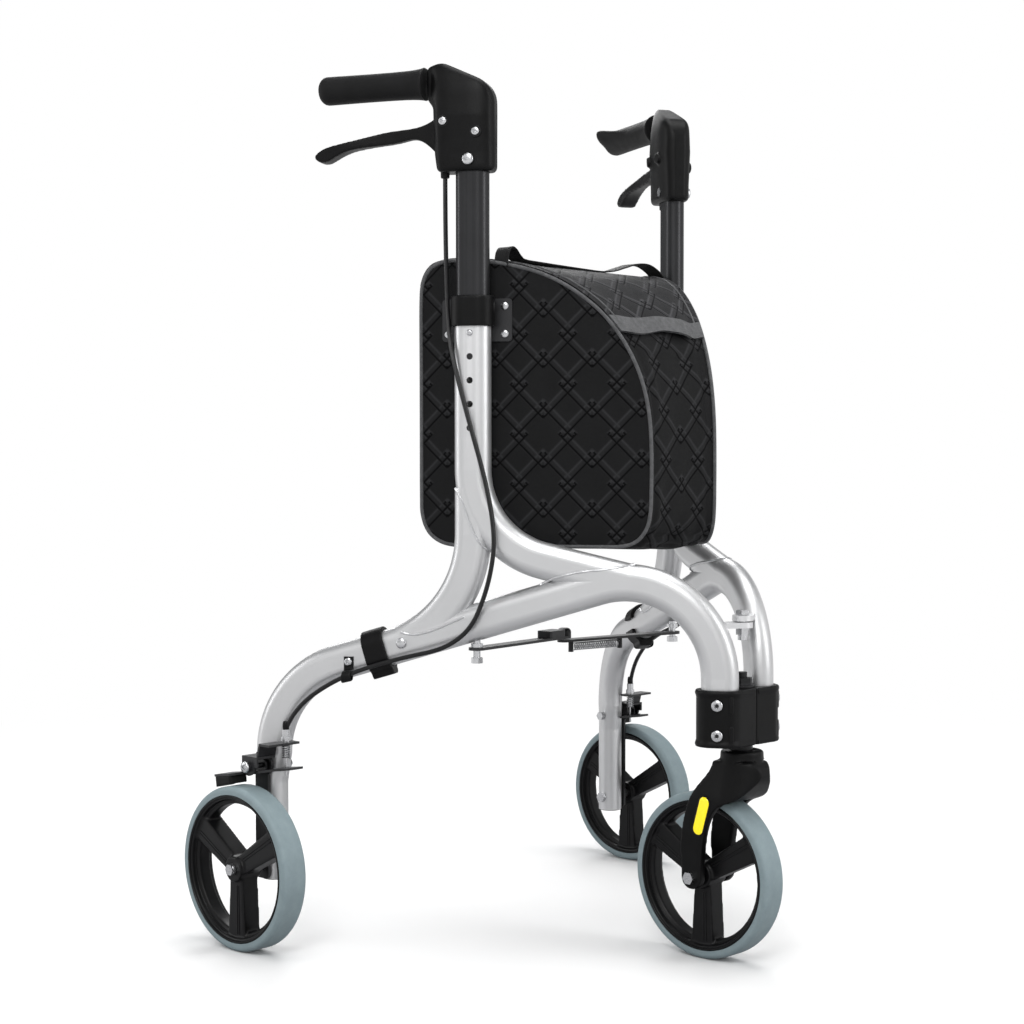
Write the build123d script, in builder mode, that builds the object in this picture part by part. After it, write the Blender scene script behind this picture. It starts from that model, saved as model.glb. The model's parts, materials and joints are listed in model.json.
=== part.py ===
"""Folding three-wheel rollator.

Millimetres, +Z up, +X towards the front caster, origin on the floor under the middle.
Both side frames hinge about one vertical axis over the caster. Everything of the right
side is built first and the left side is its mirror image. Points on a side frame are
given as (s, n, z): s backwards along the frame, n outwards from its mid-plane.
"""
import os
from math import atan2, cos, degrees, radians, sin, tan

from build123d import *

os.makedirs("parts", exist_ok=True)

# ---- layout -------------------------------------------------------------------------
HINGE_X = 239.5          # fold and caster axis
SPLAY = radians(30)      # each side frame from the centre plane
FRAME_OFFSET = 27        # frame mid-plane from the fold axis
CS, SN = cos(SPLAY), sin(SPLAY)

# ---- tubes --------------------------------------------------------------------------
TUBE_W, TUBE_T, WALL = 40, 27, 1.6
LEG_S, LEG_DIA, LEG_BOTTOM = 517, 30, 73
ARCH_REAR_Z, ARCH_FRONT_Z, ARCH_REAR_R, ARCH_FRONT_R = 291, 441.3, 105, 100
FRONT_S, FRONT_BOTTOM = 20, 240
UPRIGHT_S, UPRIGHT_TOP, UPRIGHT_BEND_Z = 288, 700, 446.5
STRUT_R, STRUT_BEND_Z, STRUT_TOP, STRUT_T = 130, 456.5, 506, 26.6
HOLE_TOP_Z, HOLE_PITCH, HOLE_COUNT, HOLE_R = 672, 25.4, 5, 3.5

# ---- post and handle ----------------------------------------------------------------
POST_W, POST_T, POST_WALL = 36.6, 23.6, 2
POST_BOTTOM, POST_TOP = 640, 930
COLLAR_Z0, COLLAR_LIP_Z, COLLAR_Z1 = 679, 700.3, 712
HOUSING_HALF = 17.5
LEVER_PIVOT = (316, 896)
LEVER_T = 12
GRIP_Z, GRIP_S, GRIP_LEN, GRIP_TOE = 939, 339, 124, radians(7)

# ---- wheels -------------------------------------------------------------------------
WHEEL_R, TYRE_IN_R, TYRE_W, RIM_W = 90, 81, 31.4, 29
HUB_R, HUB_W, AXLE_R, RUN_FIT = 14, 30, 4, 0.05
REAR_WHEEL_Y = -325.6
TRAIL = 44.8

# ---- head ---------------------------------------------------------------------------
BLOCK_Z0, BLOCK_Z1, BLOCK_WALL = 236, 296, 5
STEM_R, KNUCKLE_R, LAYERS, GAP = 11.4, 15, 4, 0.3
LUG_Z_RIGHT, LUG_Z_LEFT, LUG_T = 359, 366.3, 6

# ---- brace and bag ------------------------------------------------------------------
BRACE_S, BRACE_CENTRE_X = 284, HINGE_X - 257
BAR_W, BAR_T, BAR_Z_RIGHT, BAR_Z_LEFT = 16, 3, 331, 326.5
BAG_S0, BAG_S1, BAG_Z0, BAG_Z1, BAG_T = 97, 352, 443, 752, 4
PLATE_N, PANEL_N = -17.2, -18.6   # outer faces of the bag plate and side panel

# ---- brake --------------------------------------------------------------------------
CABLE_R = 2.5
BRAKE_PIVOT_Z = 201
BRAKE_TILT = radians(8)


def at(s, n, z):
    """Point of the right side frame."""
    n += FRAME_OFFSET
    return Vector(HINGE_X - s * CS + n * SN, -s * SN - n * CS, z)


def side(n=0.0):
    """Side-view plane of the right frame: local x is s, local y is z, normal inwards."""
    return Plane(origin=at(0, n, 0), x_dir=(-CS, -SN, 0), z_dir=(-SN, CS, 0))


def level(s, n, z):
    """Horizontal plane of the right frame: local x backwards, local y outwards."""
    return Plane(origin=at(s, n, z), x_dir=(-CS, -SN, 0), z_dir=(0, 0, 1))


def outward(s, n, z):
    """Plane facing outwards from the right frame."""
    return Plane(origin=at(s, n, z), x_dir=(-CS, -SN, 0), z_dir=(SN, -CS, 0))


def plan(z):
    """Horizontal plane with its origin on the fold axis."""
    return Plane(origin=(HINGE_X, 0, z), x_dir=(1, 0, 0), z_dir=(0, 0, 1))


def across(x, y, z):
    """Plane facing the right-hand side of the walker."""
    return Plane(origin=(x, y, z), x_dir=(1, 0, 0), z_dir=(0, -1, 0))


def arch_z(s):
    """Centre height of the straight run of the arch."""
    return ARCH_REAR_Z + (LEG_S - s) * (ARCH_FRONT_Z - ARCH_REAR_Z) / (LEG_S - FRONT_S)


def arch_section(s):
    """Plane square to the straight run of the arch: local x upwards across the tube."""
    slope = atan2(ARCH_FRONT_Z - ARCH_REAR_Z, LEG_S - FRONT_S)
    a, b = sin(slope), cos(slope)
    return Plane(
        origin=at(s, 0, arch_z(s)),
        x_dir=(-CS * a, -SN * a, b),
        z_dir=(CS * b, SN * b, a),
    )


def arc_radii(points):
    """Corner radii that leave a short straight between neighbouring arcs."""
    radii = []
    for before, corner, after in zip(points, points[1:], points[2:]):
        a, b = corner - before, after - corner
        turn = radians(a.get_angle(b))
        radii.append(0.45 * min(a.length, b.length) / tan(turn / 2))
    return radii


def export(part, name):
    part.label = name
    export_step(part, f"parts/{name}.step")


def export_pair(right, name):
    """Write the right-hand part and its mirror image for the left side."""
    export(right.part, f"{name}_right")
    with BuildPart() as left:
        mirror(right.part, about=Plane.XZ)
    export(left.part, f"{name}_left")


def hex_head(plane, radius, height):
    """Hexagon head standing on a plane."""
    with BuildPart() as head:
        with BuildSketch(plane):
            RegularPolygon(radius, 6)
        extrude(amount=height)
    return head.part


def oval_solid(path_points, radii, start, width, thick):
    """Solid oval bar swept along a filleted side-view path."""
    with BuildPart() as bar:
        with BuildLine(side()) as path:
            FilletPolyline(*path_points, radius=radii)
        with BuildSketch(start):
            SlotOverall(width, thick)
        sweep(path=path.wires()[0])
    return bar.part


# ---- side frame ---------------------------------------------------------------------
ARCH_PATH = [(LEG_S, 212), (LEG_S, ARCH_REAR_Z), (FRONT_S, ARCH_FRONT_Z), (FRONT_S, FRONT_BOTTOM)]
UPRIGHT_PATH = [(UPRIGHT_S, UPRIGHT_TOP), (UPRIGHT_S, UPRIGHT_BEND_Z), (118, 407)]
LEG = at(LEG_S, 0, 0)

arch_outer = oval_solid(
    ARCH_PATH, [ARCH_REAR_R, ARCH_FRONT_R], level(LEG_S, 0, 212), TUBE_W, TUBE_T
)
arch_inner = oval_solid(
    ARCH_PATH, [ARCH_REAR_R, ARCH_FRONT_R], level(LEG_S, 0, 212),
    TUBE_W - 2 * WALL, TUBE_T - 2 * WALL,
)
upright_outer = oval_solid(
    UPRIGHT_PATH, [100], level(UPRIGHT_S, 0, UPRIGHT_TOP), TUBE_W, TUBE_T
)
upright_inner = oval_solid(
    UPRIGHT_PATH, [100], level(UPRIGHT_S, 0, UPRIGHT_TOP),
    TUBE_W - 2 * WALL, TUBE_T - 2 * WALL,
)


def leg_solid(inset):
    """Rear leg: the oval turns into a round tube below the bend."""
    with BuildPart() as leg:
        with BuildSketch(level(LEG_S, 0, 212)):
            SlotOverall(TUBE_W - 2 * inset, TUBE_T - 2 * inset)
        with BuildSketch(level(LEG_S, 0, 180)):
            Circle(LEG_DIA / 2 - inset)
        loft()
        with BuildSketch(level(LEG_S, 0, LEG_BOTTOM)):
            Circle(LEG_DIA / 2 - inset)
        extrude(amount=180 - LEG_BOTTOM)
    return leg.part


with BuildPart() as arch_tube:
    add(arch_outer)
    add(leg_solid(0))
    add(arch_inner, mode=Mode.SUBTRACT)
    add(leg_solid(WALL), mode=Mode.SUBTRACT)
    for z, r in ((WHEEL_R, AXLE_R), (198, 3)):
        with BuildSketch(across(LEG.X, LEG.Y + 25, z)):
            Circle(r)
        extrude(amount=50, mode=Mode.SUBTRACT)
    with BuildSketch(outward(FRONT_S, -20, 0)):
        with Locations((0, -281), (0, -249.5)):
            Circle(3)
    extrude(amount=40, mode=Mode.SUBTRACT)
    with BuildSketch(level(BRACE_S, 0, 325)):
        Circle(4)
    extrude(amount=30, mode=Mode.SUBTRACT)
export_pair(arch_tube, "arch_tube")

with BuildPart() as upright_tube:
    add(upright_outer)
    add(upright_inner, mode=Mode.SUBTRACT)
    add(arch_outer, mode=Mode.SUBTRACT)
    with BuildSketch(outward(UPRIGHT_S, 9, HOLE_TOP_Z)):
        with Locations(*[(0, HOLE_PITCH * i) for i in range(HOLE_COUNT)]):
            Circle(HOLE_R)
    extrude(amount=6, mode=Mode.SUBTRACT)
export_pair(upright_tube, "upright_tube")

with BuildPart() as rear_strut:
    with BuildLine(side()) as strut_path:
        Line((UPRIGHT_S, STRUT_TOP), (UPRIGHT_S, STRUT_BEND_Z))
        CenterArc((UPRIGHT_S + STRUT_R, STRUT_BEND_Z), STRUT_R, 180, 67)
    with BuildSketch(level(UPRIGHT_S, 0, STRUT_TOP)):
        SlotOverall(TUBE_W, STRUT_T)
        SlotOverall(TUBE_W - 2 * WALL, STRUT_T - 2 * WALL, mode=Mode.SUBTRACT)
    sweep(path=strut_path.wires()[0])
    add(upright_outer, mode=Mode.SUBTRACT)
    add(arch_outer, mode=Mode.SUBTRACT)
export_pair(rear_strut, "rear_strut")

with BuildPart() as collar:
    with BuildSketch(level(UPRIGHT_S, 0, COLLAR_Z0)):
        SlotOverall(48, 34)
        SlotOverall(TUBE_W, TUBE_T, mode=Mode.SUBTRACT)
    extrude(amount=COLLAR_LIP_Z - COLLAR_Z0)
    with BuildSketch(level(UPRIGHT_S, 0, COLLAR_LIP_Z)):
        SlotOverall(48, 34)
        SlotOverall(POST_W + 0.2, POST_T + 0.2, mode=Mode.SUBTRACT)
    extrude(amount=COLLAR_Z1 - COLLAR_LIP_Z)
    fillet(collar.faces().sort_by(Axis.Z)[-1].outer_wire().edges(), 2)
export_pair(collar, "collar")

# ---- head blocks --------------------------------------------------------------------
PIN_S = FRONT_S


def hinge_block(own_layers):
    """Clamp block round one front tube with its knuckles round the caster stem."""
    layer = (BLOCK_Z1 - BLOCK_Z0 + GAP) / LAYERS
    with BuildPart() as block:
        with BuildSketch(plan(BLOCK_Z0)):
            with Locations(*[(at(s, 0, 0).X - HINGE_X, at(s, 0, 0).Y) for s in (13.5, 26.5)]):
                Circle(TUBE_T / 2 + BLOCK_WALL)
            Circle(19)
            make_hull()
            with Locations((0, -GAP / 2)):
                Rectangle(120, 80, align=(Align.CENTER, Align.MIN), mode=Mode.SUBTRACT)
        extrude(amount=BLOCK_Z1 - BLOCK_Z0)
        with BuildSketch(plan(BLOCK_Z0)):
            with BuildLine():
                Polyline((0, 0), (-80 * CS, -80 * SN), (-80, 0), close=True)
            make_face()
        extrude(amount=BLOCK_Z1 - BLOCK_Z0, mode=Mode.SUBTRACT)
        rim_edges = block.edges().filter_by(GeomType.LINE, reverse=True)
        with BuildSketch(plan(BLOCK_Z0)):
            Circle(KNUCKLE_R + GAP)
        extrude(amount=BLOCK_Z1 - BLOCK_Z0, mode=Mode.SUBTRACT)
        for i in own_layers:
            with BuildSketch(plan(BLOCK_Z0 + i * layer)):
                Circle(KNUCKLE_R)
            extrude(amount=layer - GAP)
            with BuildSketch(plan(BLOCK_Z0 + i * layer)):
                with BuildLine():
                    Polyline((0, -2), (19, -2), (19, -22), (-8, -24), close=True)
                make_face()
            extrude(amount=layer - GAP)
        with BuildSketch(plan(BLOCK_Z0)):
            Circle(STEM_R + RUN_FIT)
        extrude(amount=BLOCK_Z1 - BLOCK_Z0, mode=Mode.SUBTRACT)
        with BuildSketch(level(FRONT_S, 0, FRONT_BOTTOM)):
            SlotOverall(TUBE_W, TUBE_T)
        extrude(amount=80, mode=Mode.SUBTRACT)
        with BuildSketch(outward(PIN_S, -25, 0)):
            with Locations((0, -281), (0, -249.5)):
                Circle(3)
        extrude(amount=50, mode=Mode.SUBTRACT)
    return block


for name, layers, flip in (("right", (0, 2), False), ("left", (1, 3), True)):
    block = hinge_block(layers)
    if flip:
        with BuildPart() as flipped:
            mirror(block.part, about=Plane.XZ)
        block = flipped
    export(block.part, f"hinge_block_{name}")


with BuildPart() as frame_bolts:
    for z in (281, 249.5):
        with BuildSketch(outward(PIN_S, -18, z)):
            Circle(3)
        extrude(amount=36.5)
        with BuildSketch(outward(PIN_S, 18.5, z)):
            Circle(5.5)
        extrude(amount=3)
    with BuildSketch(across(LEG.X, LEG.Y + 16, WHEEL_R)):
        Circle(AXLE_R)
    extrude(amount=80)
    add(hex_head(across(LEG.X, LEG.Y + 19.9, WHEEL_R), 6.5, 4.9))
    add(hex_head(across(LEG.X, REAR_WHEEL_Y - HUB_W / 2 - 0.4, WHEEL_R), 6.5, 5))
    with BuildSketch(across(LEG.X, LEG.Y - 18.5, WHEEL_R)):
        Circle(7)
    extrude(amount=abs(REAR_WHEEL_Y - LEG.Y) - HUB_W / 2 - 18.5 - 0.3)
    with BuildSketch(across(LEG.X, LEG.Y + 17, 198)):
        Circle(3)
    extrude(amount=35)
    add(hex_head(across(LEG.X, LEG.Y + 21.2, 198), 5.5, 5))
    with BuildSketch(level(BRACE_S, 0, 318)):
        Circle(4)
    extrude(amount=30)
    with BuildSketch(level(BRACE_S, 0, BAR_Z_RIGHT + BAR_T + GAP)):
        Circle(6.5)
    extrude(amount=4)
    add(hex_head(level(BRACE_S, 0, 317), 6.5, 6))
export_pair(frame_bolts, "frame_bolts")

# ---- bag mounting plate and side panel ----------------------------------------------
with BuildPart() as bag_plate:
    with BuildSketch(side(PLATE_N)):
        with Locations((288, 687)):
            RectangleRounded(78, 46, 4)
    extrude(amount=1.2)
export_pair(bag_plate, "bag_plate")


with BuildPart() as bag_panel:
    with BuildSketch(side(PANEL_N)):
        with BuildLine():
            FilletPolyline(
                (BAG_S1, BAG_Z0), (BAG_S1, BAG_Z1), (225, BAG_Z1), (130, 722),
                (BAG_S0, 640), (BAG_S0, BAG_Z0), close=True, radius=26,
            )
        make_face()
    extrude(amount=BAG_T)
export_pair(bag_panel, "bag_panel")

# ---- brake bracket, adjuster and clips ----------------------------------------------
PIVOT_X, STRAP_Y = HINGE_X - 429, LEG.Y - 15.3
ADJUSTER = Vector(HINGE_X - 405.5, -289, 0)

with BuildPart() as brake_bracket:
    with BuildSketch(across(LEG.X, STRAP_Y, 0)):
        with Locations((0, 144)):
            RectangleRounded(22, 140, 5)
        with Locations((PIVOT_X - LEG.X, BRAKE_PIVOT_Z)):
            Circle(12)
    extrude(amount=3)
    with BuildSketch(Plane.XY.offset(210)):
        with Locations((PIVOT_X + 2, STRAP_Y - 12.8)):
            Rectangle(26, 25.6)
    extrude(amount=2.5)
    with BuildSketch(across(PIVOT_X, STRAP_Y - 23.2, BRAKE_PIVOT_Z)):
        Circle(10)
        with Locations((2, 6)):
            Rectangle(26, 11)
    extrude(amount=2.4)
    with BuildSketch(Plane.XZ.offset(296)):
        with BuildLine():
            Polyline(
                (PIVOT_X + 13, 210), (PIVOT_X + 17, 225), (PIVOT_X + 33, 225),
                (PIVOT_X + 33, 227.5), (PIVOT_X + 15, 227.5), (PIVOT_X + 11, 212.5), close=True,
            )
        make_face()
    extrude(amount=24)
    with BuildSketch(Plane.XY.offset(225)):
        with Locations((PIVOT_X + 25, -290)):
            Rectangle(17, 24)
        with Locations((ADJUSTER.X, ADJUSTER.Y)):
            Circle(3, mode=Mode.SUBTRACT)
    extrude(amount=2.5)
    with BuildSketch(Plane.XY.offset(200)):
        with Locations((ADJUSTER.X, ADJUSTER.Y)):
            Circle(3)
    extrude(amount=40, mode=Mode.SUBTRACT)
    with BuildSketch(across(0, LEG.Y, 0)):
        with Locations((LEG.X, WHEEL_R)):
            Circle(AXLE_R)
        with Locations((LEG.X, 198)):
            Circle(3)
    extrude(amount=50, mode=Mode.SUBTRACT)
    with BuildSketch(across(PIVOT_X, STRAP_Y - 30, BRAKE_PIVOT_Z)):
        Circle(3)
    extrude(amount=-40, mode=Mode.SUBTRACT)
    with BuildSketch(across(PIVOT_X, STRAP_Y - 0.5, BRAKE_PIVOT_Z)):
        Circle(3)
    extrude(amount=26.5)
    add(hex_head(across(PIVOT_X, STRAP_Y - 25.6, BRAKE_PIVOT_Z), 6, 4))
export_pair(brake_bracket, "brake_bracket")

with BuildPart() as cable_adjuster:
    for z0, z1, r in ((210, 228, 2.9), (227.5, 233, 5.5), (233, 241, 4.2)):
        with BuildSketch(Plane.XY.offset(z0)):
            with Locations((ADJUSTER.X, ADJUSTER.Y)):
                Circle(r)
        extrude(amount=z1 - z0)
export_pair(cable_adjuster, "cable_adjuster")

with BuildPart() as brake_spring:
    with BuildSketch(Plane.XY.offset(208.5)):
        with Locations((ADJUSTER.X, ADJUSTER.Y)):
            Circle(4.8)
            Circle(3.6, mode=Mode.SUBTRACT)
    extrude(amount=16.2)
export_pair(brake_spring, "brake_spring")

with BuildPart() as fold_clip:
    with BuildSketch(arch_section(395)):
        SlotOverall(49, 35)
        with Locations((-22, 0)):
            RectangleRounded(14, 18, 4)
        SlotOverall(TUBE_W, TUBE_T, mode=Mode.SUBTRACT)
        with Locations((0, -15)):
            Rectangle(14, 12, mode=Mode.SUBTRACT)
    extrude(amount=12.5, both=True)
export_pair(fold_clip, "fold_clip")

# ---- brake cable --------------------------------------------------------------------
CABLE_POINTS = [
    at(318.5, 0, 850), at(318.5, 0, 690), at(300, 20.5, 622), at(257, 20.5, 475),
    at(263, 20.5, 405), at(293, 20.5, 338), at(380, 20.5, 319), at(440, 20.5, 297),
    at(486, 20.5, 264), Vector(ADJUSTER.X, ADJUSTER.Y, 243),
]
with BuildPart() as brake_cable:
    with BuildLine() as cable_path:
        FilletPolyline(*CABLE_POINTS, radius=arc_radii(CABLE_POINTS))
    with BuildSketch(Plane(origin=CABLE_POINTS[0], z_dir=(0, 0, -1))):
        Circle(CABLE_R)
    sweep(path=cable_path.wires()[0])
export_pair(brake_cable, "brake_cable")

# ---- post, handle and lever ---------------------------------------------------------
with BuildPart() as post_tube:
    with BuildSketch(level(UPRIGHT_S, 0, POST_BOTTOM)):
        SlotOverall(POST_W, POST_T)
        SlotOverall(POST_W - 2 * POST_WALL, POST_T - 2 * POST_WALL, mode=Mode.SUBTRACT)
    extrude(amount=POST_TOP - POST_BOTTOM)
    for n0, s, z, r, length in ((8, UPRIGHT_S, HOLE_TOP_Z, HOLE_R, 6), (-15, UPRIGHT_S, 855, 3, 30),
                                (0, 280, 884, 2, 15)):
        with BuildSketch(outward(s, n0, z)):
            Circle(r)
        extrude(amount=length, mode=Mode.SUBTRACT)
export_pair(post_tube, "post_tube")

with BuildPart() as snap_button:
    with BuildSketch(outward(UPRIGHT_S, 3, HOLE_TOP_Z)):
        Circle(HOLE_R - 0.08)
    extrude(amount=13)
    fillet(snap_button.edges().sort_by(Axis((0, 0, 0), (SN, -CS, 0)))[-1], 2)
    with BuildSketch(outward(UPRIGHT_S, 1, HOLE_TOP_Z)):
        Circle(5)
    extrude(amount=2)
export_pair(snap_button, "snap_button")

GRIP_DIR = Vector(-CS, -SN, 0).rotate(Axis.Z, -degrees(GRIP_TOE))
GRIP_START = at(GRIP_S, 0, GRIP_Z)
GRIP_PLANE = Plane(origin=GRIP_START, x_dir=GRIP_DIR, z_dir=(0, 0, 1))

with BuildPart() as housing:
    with BuildSketch(side(HOUSING_HALF)):
        with BuildLine():
            FilletPolyline(
                (262, 843), (262, 934), (320, 960.5), (338, 956), (336, 921), (329.5, 912),
                (327.5, 862), (324.5, 843), close=True, radius=[6, 30, 20, 8, 8, 8, 10, 6],
            )
        make_face()
    extrude(amount=2 * HOUSING_HALF)
    housing_sides = housing.faces().filter_by(Plane(origin=(0, 0, 0), z_dir=(-SN, CS, 0)))
    fillet(housing_sides.edges(), 5.9)
    with BuildSketch(level(UPRIGHT_S, 0, 840)):
        SlotOverall(POST_W + 0.2, POST_T + 0.2)
    extrude(amount=POST_TOP - 839.7, mode=Mode.SUBTRACT)
    with BuildSketch(side(7)):
        with Locations((323, 886)):
            Rectangle(34, 50)
    extrude(amount=14, mode=Mode.SUBTRACT)
    with BuildSketch(level(318.5, 0, 840)):
        Circle(CABLE_R + GAP)
    extrude(amount=25, mode=Mode.SUBTRACT)
    for n0, s, z, r, length in ((-25, UPRIGHT_S, 855, 3, 50), (-12, *LEVER_PIVOT, 2.5, 35),
                                (0, 280, 884, 2, 25)):
        with BuildSketch(outward(s, n0, z)):
            Circle(r)
        extrude(amount=length, mode=Mode.SUBTRACT)
    with BuildSketch(outward(300, -HOUSING_HALF + 1, 886)):
        with Locations((-16, -8), (16, -8)):
            Circle(6)
    extrude(amount=-5)
    with BuildSketch(outward(UPRIGHT_S, -HOUSING_HALF - 1, 855)):
        RegularPolygon(5.6, 6)
    extrude(amount=5.2, mode=Mode.SUBTRACT)
export_pair(housing, "housing")

with BuildPart() as housing_bolts:
    with BuildSketch(outward(UPRIGHT_S, -17.2, 855)):
        Circle(3)
    extrude(amount=37.2)
    add(hex_head(outward(UPRIGHT_S, HOUSING_HALF, 855), 5.5, 4))
    add(hex_head(outward(UPRIGHT_S, -HOUSING_HALF + 0.1, 855), 5.5, 4))
    for n0, s, z, r, length in ((-12, *LEVER_PIVOT, 2.5, 30), (5, 280, 884, 2, 13)):
        with BuildSketch(outward(s, n0, z)):
            Circle(r)
        extrude(amount=length)
        with BuildSketch(outward(s, HOUSING_HALF, z)):
            Circle(4)
        extrude(amount=1.5)
export_pair(housing_bolts, "housing_bolts")

with BuildPart() as grip:
    with BuildSketch(GRIP_PLANE):
        with BuildLine():
            Polyline((0.4, 8), (0.4, 18), (4, 18))
            Spline((4, 18), (22, 15.6), (70, 15), (GRIP_LEN - 3, 16), tangents=((1, -0.2), (1, 0.05)))
            Polyline((GRIP_LEN - 3, 16), (GRIP_LEN, 13), (GRIP_LEN, 0), (GRIP_LEN - 8, 0),
                     (GRIP_LEN - 8, 8), (0.4, 8))
        make_face()
    revolve(axis=Axis(GRIP_START, GRIP_DIR))
    with BuildSketch(GRIP_PLANE.offset(8)):
        with BuildLine():
            Polyline((64, 4), (84, -18), (GRIP_LEN - 6, -31), (GRIP_LEN, -27), (GRIP_LEN, 4), close=True)
        make_face()
    extrude(amount=5)
    with BuildSketch(Plane(origin=GRIP_START, z_dir=GRIP_DIR)):
        Circle(8)
    extrude(amount=GRIP_LEN - 8, mode=Mode.SUBTRACT)
export_pair(grip, "grip")

with BuildPart() as brake_lever:
    with BuildSketch(side(LEVER_T / 2)):
        with BuildLine():
            Spline((326, 903), (343, 894), (377, 889.5), (419, 881), (445, 875.5), (459, 869.5),
                   (463, 864), (457, 858.5), (443, 862), (428, 869), (411, 872.5), (387, 875),
                   (365, 878), (350, 880), (339, 875), (328, 865))
            Polyline((328, 865), (320, 868), (310, 889))
            Line((310, 889), (308, 896))
            RadiusArc((308, 896), (316, 904), 8)
            Line((316, 904), (326, 903))
        make_face()
        with Locations(LEVER_PIVOT):
            Circle(2.5 + RUN_FIT, mode=Mode.SUBTRACT)
    extrude(amount=LEVER_T)
export_pair(brake_lever, "brake_lever")

# ---- brake arm and shoe -------------------------------------------------------------
ARM_Z = BRAKE_PIVOT_Z - 8
ARM_PLANE = Plane(
    origin=(PIVOT_X, 0, ARM_Z), x_dir=(cos(BRAKE_TILT), 0, sin(BRAKE_TILT)),
    z_dir=(-sin(BRAKE_TILT), 0, cos(BRAKE_TILT)),
)
with BuildPart() as brake_arm:
    with BuildSketch(ARM_PLANE):
        with BuildLine():
            Polyline((-42, -337), (-16, -337), (-12, STRAP_Y - 22), (16, STRAP_Y - 22), (24, -306), (46, -300),
                     (46, -283), (14, -279), (13, STRAP_Y - 4), (-12, STRAP_Y - 4), (-16, -312),
                     (-42, -312), close=True)
        make_face()
    extrude(amount=2.5, both=False)
    for y in (STRAP_Y - 4, STRAP_Y - 19.5):
        with BuildSketch(across(PIVOT_X, y, BRAKE_PIVOT_Z)):
            Circle(6.5)
            with Locations((0, -4)):
                Rectangle(13, 8)
            Circle(3 + RUN_FIT, mode=Mode.SUBTRACT)
        extrude(amount=2.5)
    with BuildSketch(ARM_PLANE.offset(-5)):
        with Locations((ADJUSTER.X - PIVOT_X, ADJUSTER.Y)):
            Circle(1.5)
    extrude(amount=12, mode=Mode.SUBTRACT)
export_pair(brake_arm, "brake_arm")

with BuildPart() as brake_shoe:
    with BuildSketch(ARM_PLANE):
        with Locations((-29, -324.5)):
            RectangleRounded(27, 24, 2)
    extrude(amount=-14)
    with BuildSketch(across(LEG.X, -300, WHEEL_R)):
        Circle(WHEEL_R + 2.2)
    extrude(amount=60, mode=Mode.SUBTRACT)
export_pair(brake_shoe, "brake_shoe")


# ---- wheels -------------------------------------------------------------------------
def section(x, y):
    """Plane through a wheel axis: local x radial, local y towards the right-hand side."""
    return Plane(origin=(x, y, WHEEL_R), x_dir=(0, 0, 1), z_dir=(1, 0, 0))


def tyre(x, y):
    """Solid tyre with rounded shoulders."""
    with BuildPart() as ring:
        with BuildSketch(section(x, y)):
            with BuildLine():
                FilletPolyline(
                    (TYRE_IN_R, -TYRE_W / 2), (WHEEL_R, -TYRE_W / 2), (WHEEL_R, TYRE_W / 2),
                    (TYRE_IN_R, TYRE_W / 2), close=True, radius=[0.4, 5, 5, 0.4],
                )
            make_face()
        revolve(axis=Axis((x, y, WHEEL_R), (0, 1, 0)))
    return ring


def rim(x, y):
    """Rim with three tapered spokes, one of them straight down."""
    with BuildPart() as wheel:
        with BuildSketch(section(x, y)):
            with BuildLine():
                Polyline((TYRE_IN_R, -RIM_W / 2), (TYRE_IN_R, RIM_W / 2), (76, RIM_W / 2), (75, 9),
                         (70.5, 7), (70.5, -7), (75, -9), (76, -RIM_W / 2), close=True)
            make_face()
        revolve(axis=Axis((x, y, WHEEL_R), (0, 1, 0)))
        for turn in (-90, 30, 150):
            spoke = Plane(
                origin=(x, y, WHEEL_R), x_dir=(cos(radians(turn)), 0, sin(radians(turn))),
                z_dir=(0, -1, 0),
            )
            with BuildSketch(spoke):
                with BuildLine():
                    Polyline((0, -10), (73, -14.5), (73, 14.5), (0, 10), close=True)
                make_face()
            extrude(amount=11, both=True)
        with BuildSketch(across(x, y, WHEEL_R)):
            Circle(HUB_R)
        extrude(amount=HUB_W / 2, both=True)
        with BuildSketch(across(x, y, WHEEL_R)):
            Circle(AXLE_R + RUN_FIT)
        extrude(amount=HUB_W, both=True, mode=Mode.SUBTRACT)
    return wheel


FRONT_WHEEL_X = HINGE_X - TRAIL
export_pair(tyre(LEG.X, REAR_WHEEL_Y), "rear_tyre")
export_pair(rim(LEG.X, REAR_WHEEL_Y), "rear_rim")
export(tyre(FRONT_WHEEL_X, 0).part, "front_tyre")
export(rim(FRONT_WHEEL_X, 0).part, "front_rim")

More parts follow.
